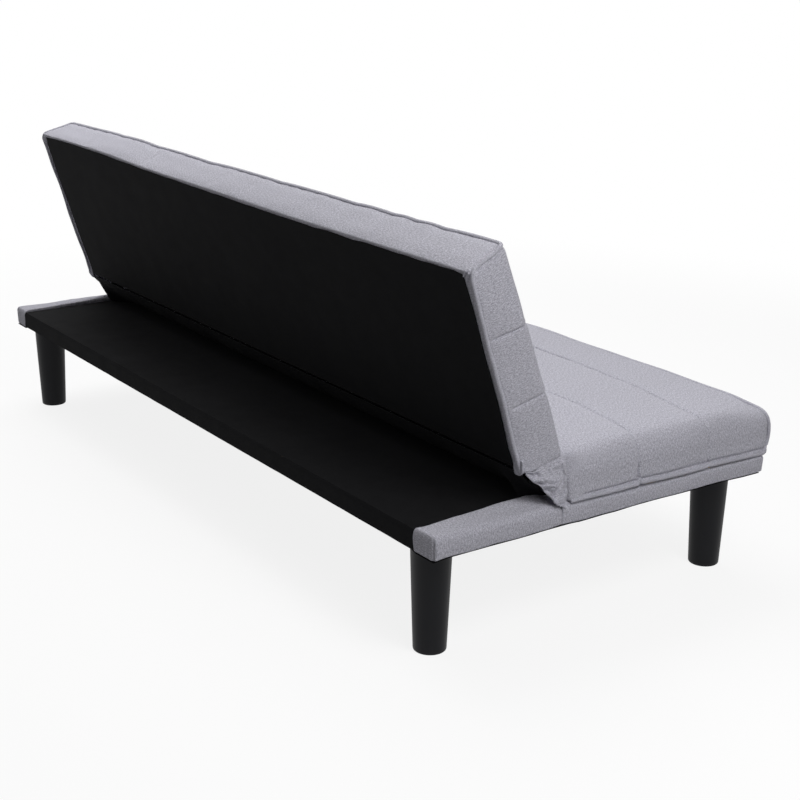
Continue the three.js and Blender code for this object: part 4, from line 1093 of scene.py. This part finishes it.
def buildBackCushion():
    back = backrest
    marks = [seam + step for seam in back["seams"] for step in seamSteps]
    stops = [
        gridStops(-back["half"], back["half"], back["easeEnd"], back["easeEnd"], back["cell"]),
        gridStops(back["bottom"], back["top"], back["easeLow"], back["easeEdge"], back["cell"],
                  marks + back["lowMarks"]),
        gridStops(back["rear"], back["front"], back["easeRear"], back["easeEdge"], 0.008),
    ]
    ease = ((back["easeEnd"],) * 2, (back["easeLow"], back["easeEdge"]), (back["easeRear"], back["easeEdge"]))
    cushion = skinBox("back_cushion_cover", stops, ease, backShape)
    grid = readGrid(cushion)
    at = lambda axis, value: np.isclose(grid[:, axis], value, atol=1e-5)
    atEnd = at(0, back["half"]) | at(0, -back["half"])
    atTop, atBottom = at(1, back["top"]), at(1, back["bottom"])
    atRear, atFront = at(2, back["rear"]), at(2, back["front"])
    onSeam = at(1, back["seams"][0]) | at(1, back["seams"][1])
    held = atRear | atBottom | (onSeam & (atFront | atEnd)) | (atTop & (atFront | atEnd))
    swellCloth(cushion, held, back["cap"], back["growth"], back["pressure"], back["bending"])
    subdivide(cushion)
    pinchSeams(cushion, back, lambda grid: share(grid[:, 2], back["rear"] + 0.004, back["rear"] + 0.02))
    points, normals = readPoints(cushion), readNormals(cushion)
    soft = share(points[:, 2], back["rear"] + 0.004, back["rear"] + 0.03)
    writePoints(cushion, points + normals * (drift(points, 0.17, 8) * back["wrinkle"] * soft)[:, None])

    radius = back["piping"]
    isEnd = lambda grid: np.isclose(np.abs(grid[:, 0]), back["half"], atol=1e-5)
    isTop = lambda grid: np.isclose(grid[:, 1], back["top"], atol=1e-5)
    isFront = lambda grid: np.isclose(grid[:, 2], back["front"], atol=1e-5)
    isRear = lambda grid: np.isclose(grid[:, 2], back["rear"], atol=1e-5)
    # one run: up the rear edge of an end, along its top, the top's front edge, and down the other end
    ends = []
    for _, sign in bothSides[::-1]:
        onSide = lambda grid: np.sign(grid[:, 0]) == sign
        rear, _ = gridPath(cushion, lambda g: isRear(g) & isEnd(g) & onSide(g), lambda g: g[:, 1])
        top, _ = gridPath(cushion, lambda g: isTop(g) & isEnd(g) & onSide(g), lambda g: g[:, 2])
        ends.append(np.concatenate([rear[rear[:, 1] > back["pipingEnd"]][:-1], top]))
    front, _ = gridPath(cushion, lambda g: isTop(g) & isFront(g), lambda g: g[:, 0])
    run = np.concatenate([ends[0], front[1:-1], ends[1][::-1]])
    line, _ = resampled(run, run, 0.003)
    line = evened(laidOn(cushion, evened(line, 3), radius * 0.45), 2, 1)
    # up the rear edge it lies on the rear face, just inside the end
    onRear = 1 - smooth(share(line[:, 2], back["rear"] - 0.004, back["rear"] + 0.006))
    onRear *= 1 - smooth(share(line[:, 1], back["top"] - 0.040, back["top"] - 0.010))
    line[:, 0] -= np.sign(line[:, 0]) * 0.0024 * onRear
    line[:, 2] -= 0.0006 * onRear
    piping = cordedEdge("back_piping", line, radius)
    extras = []
    for _, sign in bothSides[::-1]:
        # the strip beside the piping ends in a folded tab, and the rear corner of the top in two pleats
        extras.append(stripTab(sign))
        for spots in back["pleats"]:
            fold = np.array([(sign * x, y, back["rear"] - 0.0006) for x, y in spots])
            fold, _ = resampled(fold, fold + (0, 0, 1), back["pleatRadius"])
            extras.append(cordedEdge("corner_pleat", fold, back["pleatRadius"]))

    wrap = lambda grid: grid[:, 0] + np.sign(grid[:, 0]) * (back["front"] - grid[:, 2])
    lines = []
    for seam in back["seams"]:
        onLine = lambda grid: np.isclose(grid[:, 1], seam, atol=1e-5) & (isFront(grid) | isEnd(grid))
        points, normals = gridPath(cushion, onLine, wrap)
        lines.append(stitches("back_seam", points[1:-1], normals[1:-1]))
    thread = joined("back_stitching", lines)

    folds = joined("back_corner_folds", extras)
    for obj, material in ((cushion, "grey"), (piping, "trim"), (thread, "trim"), (folds, "trim")):
        obj.data.transform(toRest)
        finishPiece(obj, material, 60 if obj is thread or obj is piping else 180)
        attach(obj, "backrest")
    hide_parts("back_cushion")
    print("backrest cushion made")


buildBackCushion()


backCloth = {
    "flat": (1.595, 0.345), "thickness": 0.0007,
    "low": 0.031, "lift": 0.0005, "slack": 0.0006, "edgeWave": 0.0007,
    "ends": (  # height and how far its end edges stand from the middle
        (0.031, 0.7985), (0.045, 0.7984), (0.067, 0.7958), (0.093, 0.7970), (0.120, 0.7974), (0.145, 0.7976),
        (0.170, 0.7964), (0.197, 0.7955), (0.225, 0.7938), (0.280, 0.7935), (0.308, 0.7931), (0.340, 0.7905),
        (0.353, 0.7892), (0.362, 0.7890), (0.368, 0.7868), (0.374, 0.7820)),
    "edge": (  # the height of its upper edge along the back
        (-0.80, 0.3660), (-0.77, 0.3690), (-0.72, 0.3694), (-0.65, 0.3685), (-0.28, 0.3685), (-0.19, 0.3689),
        (-0.10, 0.3708), (0.0, 0.3723), (0.10, 0.3739), (0.20, 0.3750), (0.315, 0.3777), (0.43, 0.3812),
        (0.56, 0.3831), (0.70, 0.3842), (0.80, 0.3815)),
}


def buildBackCloth():
    back, cloth = backrest, backCloth

    def place(across, along):
        high = np.interp((across * 2 - 1) * 0.79, *zip(*cloth["edge"]))
        y = cloth["low"] + (high - cloth["low"]) * along
        x = (across * 2 - 1) * np.interp(y, *zip(*cloth["ends"]))
        points = np.stack([x, y, np.zeros(len(x))], 1)
        loose = np.clip(np.sin(math.pi * across) * 8, 0, 1) * np.clip(np.sin(math.pi * along) * 3, 0, 1)
        wave = 1 + drift(points, 0.3, 21) + 0.4 * drift(points, 0.09, 22)
        z = back["rear"] - cloth["lift"] - cloth["slack"] * np.clip(wave, 0.1, 2.2) * loose
        y = y + cloth["edgeWave"] * drift(points * (1, 0, 0), 0.07, 23) * share(along, 0.97, 1)
        return x, y, z

    cover = clothPatch("back_panel_cloth", 150, 40, place, cloth["flat"])
    thicken(cover, cloth["thickness"])
    cover.data.transform(toRest)
    finishPiece(cover, "black")
    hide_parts("back_cloth")
    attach(cover, "backrest")
    print("backrest cloth made")


buildBackCloth()


# base covers
sideCover = {
    "inner": 0.7862, "outer": 0.8395, "bottom": 0.1903, "top": 0.2280,
    "seamY": 0.1257, "rear": 0.3775, "front": -0.3448,
    "easeInner": 0.004, "easeOuter": 0.012, "easeTop": 0.010, "easeLow": 0.0025, "easeEnd": 0.0045,
    "bulge": 0.0016, "cell": 0.009, "tuckUnder": 0.008, "tuckIn": 0.0026,
    "lowEdge": (  # how far the lower edge stands off its nominal height along the side
        (-0.345, -0.0036), (-0.296, -0.0032), (-0.266, -0.0018), (-0.134, -0.0007), (-0.106, 0.0001),
        (-0.050, 0.0008), (0.003, -0.0008), (0.030, -0.0003), (0.082, -0.0010), (0.107, 0.0008),
        (0.133, 0.0016), (0.158, 0.0004), (0.182, -0.0004), (0.207, -0.0006), (0.260, 0.0), (0.352, 0.0),
        (0.378, -0.0026)),
    "cornerSeam": (0.8345, 0.0012, 0.0030), "cornerSeamTop": 0.2225,  # place, half width, depth
    "rise": 0.0046, "riseInner": 0.0030,  # behind the hinge
    "wrap": 0.0050, "wrapBack": 0.0016,  # over the black cloth at the rear
    "sag": (  # how far the outer edge of the top is pressed down along the side
        (-0.345, 0.0085), (-0.304, 0.0080), (-0.157, 0.0060), (0.0, 0.0040), (0.090, 0.0010), (0.110, 0.0)),
    "waves": ((0.07, 0.0006), (0.025, 0.00025)),  # size and height
}


def coverShape(y0, y1, seed):
    cover = sideCover

    def shape(points, facing, grid):
        x, y, z = points.T.copy()
        outX, outY, outZ = facing.T
        rise = share(z, cover["bottom"], cover["top"])
        pull = smooth(share(y, y0, y0 + 0.012)) * smooth(share(-y, -y1, -y1 + 0.012))
        full = cover["bulge"] * np.sin(math.pi * rise) * outX ** 2 * (0.35 + 0.65 * pull)
        # the rear cover's front end goes in under the front cover
        under = 1 - smooth(share(y, cover["seamY"] - 0.001, cover["seamY"] + 0.004)) if y0 > 0 else 0
        x = x + np.sign(x) * (full - cover["tuckIn"] * under * np.abs(outX))
        z = z + np.maximum(outZ, 0) ** 2 * (0.0006 * (0.3 + 0.7 * pull) - cover["tuckIn"] * under)
        z = z + np.interp(y, *zip(*cover["lowEdge"])) * (1 - rise) ** 2
        # in front of the hinge the padding is pressed down along its outer edge
        outward = smooth(share(np.abs(x), cover["outer"] - 0.030, cover["outer"] - 0.004))
        z = z - np.interp(y, *zip(*cover["sag"])) * outward * rise ** 2
        # behind the hinge the padding stands higher along its inner edge
        inward = 1 - smooth(share(np.abs(x), cover["inner"], cover["outer"] - 0.016))
        behind = smooth(share(-y, -0.375, -0.190)) * smooth(share(y, 0.105, 0.140))
        z = z + cover["rise"] * inward * behind * rise ** 3
        x = x - np.sign(x) * cover["riseInner"] * inward * behind * rise ** 2
        # the corner of the rear end is closed by a seam
        place, width, depth = cover["cornerSeam"]
        line = np.exp(-((np.abs(x) - place) / width) ** 2)
        line *= 1 - share(z, cover["cornerSeamTop"], cover["top"])
        y = y - depth * line * (y0 > 0) * share(y, cover["rear"] - 0.008, cover["rear"] - 0.004)
        # and its inner edge is turned over the black cloth
        lap = smooth(share(y, cover["rear"] - 0.0115, cover["rear"] - 0.0020))
        lap *= 1 - smooth(share(np.abs(x), cover["inner"], cover["inner"] + 0.014))
        lap *= np.sin(math.pi * (0.12 + 0.80 * (1 - rise))) ** 0.7
        x = x - np.sign(x) * cover["wrap"] * lap
        y = y + cover["wrapBack"] * lap
        (wide, high), (narrow, low) = cover["waves"]
        soft = drift(points, wide, seed) * high + drift(points, narrow, seed + 1) * low
        move = facing * soft[:, None] * np.minimum(1, np.abs(outX) + np.maximum(outZ, 0))[:, None]
        return np.stack([x, y, z], 1) + move

    return shape


def buildSideCovers():
    cover = sideCover
    runs = {
        "rear": (cover["seamY"] - cover["tuckUnder"], cover["rear"]),
        "front": (cover["front"], cover["seamY"]),
    }
    for side, sign in bothSides:
        xs = sorted((sign * cover["inner"], sign * cover["outer"]))
        easeX = (cover["easeInner"], cover["easeOuter"])[::sign]
        for name, (low, high) in runs.items():
            easeY = (0.002, cover["easeEnd"]) if name == "rear" else (cover["easeEnd"], 0.0030)
            marks = [cover["seamY"] + step for step in (0.0005, 0.0025, 0.005)] if name == "rear" else ()
            seamMarks = [sign * (cover["cornerSeam"][0] + step) for step in (-0.0165, -0.003, -0.001, 0.001)]
            stops = [
                gridStops(*xs, *easeX, cover["cell"], seamMarks),
                gridStops(low, high, *easeY, cover["cell"], marks),
                gridStops(cover["bottom"], cover["top"], cover["easeLow"], cover["easeTop"], 0.007),
            ]
            ease = (easeX, easeY, (cover["easeLow"], cover["easeTop"]))
            seed = 30 + 4 * (sign > 0) + 2 * (name == "rear")
            piece = skinBox(f"{name}_side_cover_{side}_padded", stops, ease, coverShape(low, high, seed))
            subdivide(piece)
            finishPiece(piece, "grey", 180)
            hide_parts(f"{name}_side_cover_{side}")
            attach(piece, "base")
    print("side covers made")


buildSideCovers()


frontCover = {
    "half": 0.7857, "front": -0.345, "rear": -0.330, "bottom": 0.1903, "top": 0.2280,
    "easeEnd": 0.003, "easeFront": 0.006, "easeLow": 0.003, "easeTop": 0.008, "bulge": 0.0012,
}


def buildFrontCover():
    cover = frontCover
    stops = [
        gridStops(-cover["half"], cover["half"], cover["easeEnd"], cover["easeEnd"], 0.014),
        gridStops(cover["front"], cover["rear"], cover["easeFront"], 0, 0.006),
        gridStops(cover["bottom"], cover["top"], cover["easeLow"], cover["easeTop"], 0.007),
    ]
    ease = ((cover["easeEnd"],) * 2, (cover["easeFront"], 0), (cover["easeLow"], cover["easeTop"]))

    def shape(points, facing, grid):
        x, y, z = points.T.copy()
        forward = np.maximum(-facing[:, 1], 0)
        soft = drift(points, 0.08, 51) * 0.0006 + drift(points, 0.03, 52) * 0.0003
        bulge = cover["bulge"] * np.sin(math.pi * share(z, cover["bottom"], cover["top"]))
        y = y - forward ** 2 * (bulge + soft)
        return np.stack([x, y, z], 1)

    piece = skinBox("front_cover_padded", stops, ease, shape)
    subdivide(piece)
    finishPiece(piece, "grey", 180)
    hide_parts("front_cover")
    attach(piece, "base")


buildFrontCover()


deckCloth = {
    "half": 0.7857, "start": 0.066, "rear": 0.3778, "top": 0.2236, "bottom": 0.1903, "fold": 0.0021,
    "sag": 0.0030, "openX": (0.0230, 0.7850), "openY": (0.087, 0.348), "thickness": 0.0009,
}


def buildDeckCloth():
    deck = deckCloth
    lie, turn = deck["rear"] - deck["fold"] - deck["start"], deck["fold"] * math.pi / 2
    down = deck["top"] - deck["fold"] - deck["bottom"]
    whole = lie + turn + down

    def place(across, along):
        x = (across * 2 - 1) * deck["half"]
        run = along * whole
        angle = np.clip((run - lie) / deck["fold"], 0, math.pi / 2)
        y = deck["start"] + np.minimum(run, lie) + deck["fold"] * np.sin(angle)
        z = deck["top"] - deck["fold"] * (1 - np.cos(angle)) - np.maximum(run - lie - turn, 0)
        points = np.stack([x, y, z], 1)
        # it hangs between the side rails, the stretcher, the rear rail and the middle rail
        between = share(np.abs(x), deck["openX"][0], deck["openX"][1])
        free = np.sin(math.pi * between) ** 0.7 * np.sin(math.pi * share(y, *deck["openY"])) ** 0.8
        z = z - deck["sag"] * free * (1 + 0.25 * drift(points, 0.2, 61))
        pull = drift(points * (1, 0.25, 0), 0.05, 62) * 0.0002
        z = z + pull * (angle < 0.5)
        y = y + pull * (angle >= 0.5)
        return x, y, z

    cloth = clothPatch("deck_cloth_sheet", 130, 60, place, (deck["half"] * 2, whole))
    thicken(cloth, deck["thickness"])
    finishPiece(cloth, "black")
    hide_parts("deck_cloth")
    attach(cloth, "base")
    print("deck cloth made")


buildDeckCloth()


# cloths that bridge the hinge line
gusset = {
    # share of the way down from the sewn top to the tip: distance from the middle, depth place and height
    "down": (0.0, 0.12, 0.25, 0.4, 0.55, 0.7, 0.85, 1.0),
    "frontEdge": (
        (0.8205, 0.1145, 0.3037), (0.8279, 0.1141, 0.2964), (0.8323, 0.1141, 0.2860),
        (0.8350, 0.1146, 0.2731), (0.8364, 0.1158, 0.2601), (0.8381, 0.1152, 0.2470),
        (0.8401, 0.1184, 0.2352), (0.8432, 0.1243, 0.2239)),
    "freeEdge": (
        (0.8190, 0.1886, 0.2871), (0.8216, 0.1825, 0.2778), (0.8251, 0.1741, 0.2696),
        (0.8292, 0.1633, 0.2613), (0.8333, 0.1536, 0.2519), (0.8371, 0.1456, 0.2407),
        (0.8404, 0.1358, 0.2310), (0.8434, 0.1252, 0.2220)),
    "sewn": ((0.0, 0.0), (0.2, -0.0014), (0.55, -0.0018), (0.77, -0.0043), (1.0, 0.0022)),  # across, height
    "folds": (  # start and end as shares across and down, half width in metres, height in metres
        ((0.98, 0.06), (0.72, 0.12), 0.0034, -0.0048), ((0.98, 0.16), (0.80, 0.22), 0.0028, 0.0026),
        ((0.98, 0.28), (0.82, 0.36), 0.0026, -0.0036), ((0.70, 0.20), (0.40, 0.40), 0.0060, 0.0032),
        ((0.86, 0.38), (0.54, 0.47), 0.0020, 0.0030), ((0.94, 0.46), (0.82, 0.54), 0.0024, -0.0034),
        ((0.44, 0.44), (0.74, 0.53), 0.0022, 0.0030), ((0.50, 0.53), (0.74, 0.62), 0.0034, -0.0040),
        ((0.92, 0.60), (0.84, 0.68), 0.0024, -0.0030), ((0.20, 0.74), (0.90, 0.78), 0.0018, 0.0018),
        ((0.14, 0.20), (0.12, 0.60), 0.0040, -0.0010), ((0.80, 0.86), (0.30, 0.90), 0.0016, -0.0014),
    ),
    "foldDepth": 1.3, "threads": (0.082, 0.090),  # the size that its weave is laid out on
    "cells": 48, "growth": 0.06, "cap": 0.005, "bending": 0.05, "thickness": 0.0009,
    "stitch": 0.0048, "stitchPitch": 0.0024, "threadWidth": 0.00050,
}


def foldHeight(points, across, down, place):
    total = np.zeros(len(across))
    for start, end, width, height in gusset["folds"]:
        ends = np.array(place(np.array([start[0], end[0]]), np.array([start[1], end[1]]))).T
        way = ends[1] - ends[0]
        part = np.clip((points - ends[0]) @ way / (way @ way), 0, 1)
        away = np.linalg.norm(points - ends[0] - part[:, None] * way, axis=1)
        total += gusset["foldDepth"] * height * np.exp(-(away / width) ** 2)
    return total


def overlockEdge(name, line, normals, inward):
    # thread looped round a raw edge: each stitch lies on the outer face and turns over the edge
    width, rings = gusset["threadWidth"], []
    for number, (spot, out, inner) in enumerate(zip(line, normals, inward)):
        along = np.cross(out, inner)
        slant = along * (0.0005 if number % 2 else -0.0003)
        reach = gusset["stitch"] * (1.0 if number % 2 else 0.8)
        course = (
            spot + inner * reach + slant + out * width * 0.6, spot + inner * reach * 0.5 + out * width * 1.3,
            spot - inner * width * 1.2 + out * width * 0.4,
            spot + inner * reach * 0.6 - slant - out * width * 1.6)
        for place in course:
            for turn in range(4):
                angle = turn * math.pi / 2 + math.pi / 4
                rings.append(place + width * (along * math.cos(angle) + out * math.sin(angle)))
    return threadObject(name, rings, range(0, len(rings), 16))


def buildGussets():
    for side, sign in bothSides:
        def place(across, down):
            front = lineAt(down, gusset["down"], np.array(gusset["frontEdge"]))
            free = lineAt(down, gusset["down"], np.array(gusset["freeEdge"]))
            point = front + (free - front) * across[:, None]
            sewn = np.interp(across, *zip(*gusset["sewn"])) * (1 - down) ** 4
            return sign * point[:, 0], point[:, 1], point[:, 2] + sewn

        cells = gusset["cells"]
        cloth = clothPatch(f"gusset_{side}_gathered", cells, cells, place, gusset["threads"])
        before, grid = readPoints(cloth), readGrid(cloth)
        across, down = grid[:, 0], grid[:, 1]
        free = smooth(share(down, 0, 0.05)) * smooth(share(across, 0, 0.08))
        out = foldHeight(before, across, down, place) + drift(before, 0.011, 71 + sign) * 0.0006 + 0.0010
        pulled = drift(before, 0.02, 75 + sign) * 0.0008 * share(across, 0.6, 1)
        before = before + np.stack([sign * out * free, pulled * free, -pulled * free], 1)
        writePoints(cloth, before)
        held = (down < 0.02) | (across < 0.02) | (down > 0.98) | (across > 0.98)
        swellCloth(cloth, held, gusset["cap"], gusset["growth"], 0.0, gusset["bending"], 16)
        subdivide(cloth)
        line, normals = gridPath(cloth, lambda g: g[:, 0] > 0.999, lambda g: g[:, 1])
        inner, _ = gridPath(cloth, lambda g: np.isclose(g[:, 0], 1 - 1 / cells, atol=1e-4), lambda g: g[:, 1])
        size = np.linalg.norm(np.diff(line, axis=0), axis=1).sum()
        count = int(size / gusset["stitchPitch"])
        spots = np.linspace(0.03, 0.985, count) * (len(line) - 1)
        steps = np.arange(len(line))
        edge, facing = lineAt(spots, steps, line), lineAt(spots, steps, normals)
        beside = lineAt(spots, steps, inner)
        facing *= np.sign(facing[:, :1] * sign)
        inward = beside - edge
        inward -= facing * (inward * facing).sum(1, keepdims=True)
        inward /= np.linalg.norm(inward, axis=1, keepdims=True)
        facing /= np.linalg.norm(facing, axis=1, keepdims=True)
        thread = overlockEdge(f"gusset_{side}_overlock", edge + facing * 0.0005, facing, inward)
        thicken(cloth, gusset["thickness"])
        finishPiece(cloth, "grey", 180)
        finishPiece(thread, "trim", 60)
        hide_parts(f"gusset_{side}")
        for obj in (cloth, thread):
            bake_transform(obj)
    print("gussets made")


hingeFlap = {
    "half": 0.8125, "length": 0.10, "thickness": 0.0010, "slack": 0.006, "wave": 0.0016,
    "foot": (0.1232, 0.2252), "overCover": 0.0075, "heel": (0.1950, 0.2885),  # y and z
    "hingeX": 0.7825, "hingeRoom": 0.040, "hingeWide": 0.030, "hingeWideOut": 0.012,
}


def buildFlap():
    hang = hingeFlap

    def place(across, up):
        x = (across * 2 - 1) * hang["half"]
        past = np.abs(x) - hang["hingeX"]
        nearHinge = np.exp(-(past / np.where(past > 0, hang["hingeWideOut"], hang["hingeWide"])) ** 2)
        startY = hang["foot"][0] + hang["hingeRoom"] * nearHinge
        startZ = hang["foot"][1] + hang["overCover"] * smooth(share(np.abs(x), 0.778, 0.790))
        y = startY + (hang["heel"][0] - startY) * up
        z = startZ + (hang["heel"][1] - startZ) * up
        points = np.stack([x, y, z], 1)
        wave = hang["slack"] + hang["wave"] * drift(points * (1, 0.3, 0.3), 0.06, 81)
        out = wave * np.sin(math.pi * up)
        return x, y + out * 0.6 * (1 - nearHinge * 0.7), z - out * 0.75 * (1 - nearHinge)

    flap = clothPatch("hinge_flap_cloth", 170, 16, place, (hang["half"] * 2, hang["length"]))
    thicken(flap, hang["thickness"])
    finishPiece(flap, "black")
    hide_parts("hinge_flap")
    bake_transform(flap)
    print("flap made")


creaseFold = {
    "half": 0.812, "length": 0.075, "thickness": 0.0009,
    "y": (0.1195, 0.1311), "z": 0.286, "deep": 0.030, "deepWave": 0.002,
}


def buildCrease():
    fold = creaseFold

    def place(across, along):
        x = (across * 2 - 1) * fold["half"]
        points = np.stack([x, along * 0.05, np.zeros(len(x))], 1)
        y = fold["y"][0] + (fold["y"][1] - fold["y"][0]) / 2 * (1 - np.cos(math.pi * along))
        deep = fold["deep"] + fold["deepWave"] * drift(points, 0.08, 91)
        z = fold["z"] - deep * (1 - np.abs(1 - 2 * along) ** 3)
        return x, y, z

    crease = clothPatch("crease_cloth_fold", 120, 14, place, (fold["half"] * 2, fold["length"]))
    thicken(crease, fold["thickness"])
    finishPiece(crease, "grey")
    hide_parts("crease_cloth")
    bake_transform(crease)
    print("crease cloth made")


buildGussets()
buildFlap()
buildCrease()


# underside and legs
legPlaces = {"x": 0.764, "front": -0.2912, "rear": 0.3278}

underside = {
    "half": 0.8353, "front": -0.3392, "rear": 0.3766, "z": 0.1897,
    "thickness": 0.0007, "sag": 0.004, "sagWave": 0.0008, "over": 0.0011, "legHold": 0.06,
    "stapleIn": 0.0085, "stapleWide": 0.0060, "staplePitch": 0.072, "wire": 0.00045, "legClear": 0.042,
}


def undersideZ(x, y):
    # the cloth's edge follows the lower faces of the covers that it is stapled over
    dust = underside
    onSide = smooth(share(np.abs(x), sideCover["inner"] - 0.012, sideCover["inner"]))
    lowEdge = np.interp(y, *zip(*sideCover["lowEdge"]))
    return dust["z"] + (np.minimum(lowEdge, 0.0004) - dust["over"]) * onSide


def legDistance(x, y):
    # how far a place is from the middle of the nearest leg
    away = np.abs(x) - legPlaces["x"]
    return np.minimum(np.hypot(away, y - legPlaces["front"]), np.hypot(away, y - legPlaces["rear"]))


def buildDustCloth():
    dust = underside

    def place(across, along):
        x = (across * 2 - 1) * dust["half"]
        y = dust["front"] + (dust["rear"] - dust["front"]) * along
        points = np.stack([x, y, np.zeros(len(x))], 1)
        inside = share(dust["half"] - np.abs(x), 0.050, 0.110)
        inside *= share(y - dust["front"], 0.03, 0.08) * share(dust["rear"] - y, 0.03, 0.08)
        legs = 1 - np.exp(-(legDistance(x, y) / dust["legHold"]) ** 4)
        sag = (dust["sag"] + dust["sagWave"] * drift(points, 0.12, 95)) * smooth(inside) * legs
        return x, y, undersideZ(x, y) - sag

    cloth = clothPatch("dust_cloth_sheet", 140, 66, place, (dust["half"] * 2, dust["rear"] - dust["front"]))
    thicken(cloth, dust["thickness"])
    finishPiece(cloth, "black")
    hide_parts("dust_cloth")
    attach(cloth, "base")

    # one staple, copied round the edge
    deselectAll()
    bpy.ops.mesh.primitive_cube_add(size=1, location=(0, 0, 0))
    model = bpy.context.object
    model.data.transform(Matrix.Diagonal((dust["stapleWide"] * 2, dust["wire"] * 2, dust["wire"] * 2, 1)))
    rounding = model.modifiers.new("rounded", "BEVEL")
    rounding.width, rounding.segments, rounding.limit_method = dust["wire"] * 0.7, 2, "NONE"
    applyModifiers(model)
    halfX = dust["half"] - dust["stapleIn"]
    frontY, rearY = dust["front"] + dust["stapleIn"], dust["rear"] - dust["stapleIn"]
    spots = []
    for y in (frontY, rearY):
        for x in np.arange(-halfX + 0.03, halfX - 0.02, dust["staplePitch"]):
            spots.append((x, y, 0.12))
    for x in (-halfX, halfX):
        for y in np.arange(frontY + 0.03, rearY - 0.02, dust["staplePitch"]):
            spots.append((x, y, math.pi / 2 - 0.10))
    staples = []
    for number, (x, y, turn) in enumerate(spots):
        if legDistance(x, y) < dust["legClear"]:
            continue
        staple = model.copy()
        staple.data = model.data.copy()
        scene.collection.objects.link(staple)
        z = float(undersideZ(x, y)) - dust["thickness"] * 0.5 - dust["wire"] * 0.6
        turned = Matrix.Rotation(turn + 0.15 * math.sin(number * 2.4), 4, "Z")
        staple.data.transform(Matrix.Translation((x, y, z)) @ turned)
        staples.append(staple)
    bpy.data.objects.remove(model)
    wires = finishPiece(joined("dust_cloth_staples", staples), "bright", 60)
    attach(wires, "base")
    print("dust cloth made")


buildDustCloth()


legTurning = {
    "rings": (  # height, radius
        (0.0, 0.0213), (0.0, 0.0245), (0.0004, 0.0261), (0.0014, 0.027), (0.0030, 0.0274), (0.0060, 0.02755),
        (0.0400, 0.02885), (0.0800, 0.0303), (0.1200, 0.03175), (0.1600, 0.0331), (0.1836, 0.0338),
        (0.1850, 0.0341), (0.1862, 0.0341), (0.1890, 0.034), (0.1897, 0.0333), (0.1897, 0.0243),
    ),
    "sides": 72,
}


def buildLegs():
    rings = legTurning["rings"]
    deselectAll()
    bpy.ops.mesh.primitive_circle_add(vertices=legTurning["sides"], radius=rings[0][1], fill_type="NGON")
    model = bpy.context.object
    bpy.ops.object.mode_set(mode="EDIT")
    bpy.ops.mesh.select_all(action="SELECT")
    for (lowZ, lowRadius), (highZ, highRadius) in zip(rings, rings[1:]):
        bpy.ops.mesh.extrude_region_move(TRANSFORM_OT_translate={"value": (0, 0, highZ - lowZ)})
        ratio = highRadius / lowRadius
        bpy.ops.transform.resize(value=(ratio, ratio, 1), center_override=(0, 0, highZ))
    bpy.ops.mesh.select_all(action="SELECT")
    bpy.ops.mesh.normals_make_consistent(inside=False)
    bpy.ops.object.mode_set(mode="OBJECT")
    for end in ("front", "rear"):
        for side, sign in bothSides:
            leg = model.copy()
            leg.data = model.data.copy()
            leg.name = leg.data.name = f"{end}_leg_{side}_turned"
            scene.collection.objects.link(leg)
            leg.data.transform(Matrix.Translation((sign * legPlaces["x"], legPlaces[end], 0)))
            finishPiece(leg, "leg", 35)
            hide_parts(f"{end}_leg_{side}")
            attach(leg, "base")
    bpy.data.objects.remove(model)
    print("legs made")


buildLegs()


# finishes of the frame and the hinges, which keep their own shapes
frameFinishes = (  # words in a node's name and its material, of which the first that fits is taken
    (("side_rail", "stretcher", "stile"), "timberY"), (("rail", "batten", "block"), "timberX"),
    (("board",), "board"), (("hinge_arm",), "painted"), (("bolt", "rivet", "pawl", "spring"), "bright"),
)


def finishFrameNodes():
    for name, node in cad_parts.items():
        if node.hide_render:
            continue
        finish = next(finish for words, finish in frameFinishes if any(word in name for word in words))
        for slot in node.material_slots:
            slot.material = materials[finish]


finishFrameNodes()
print("frame finished")
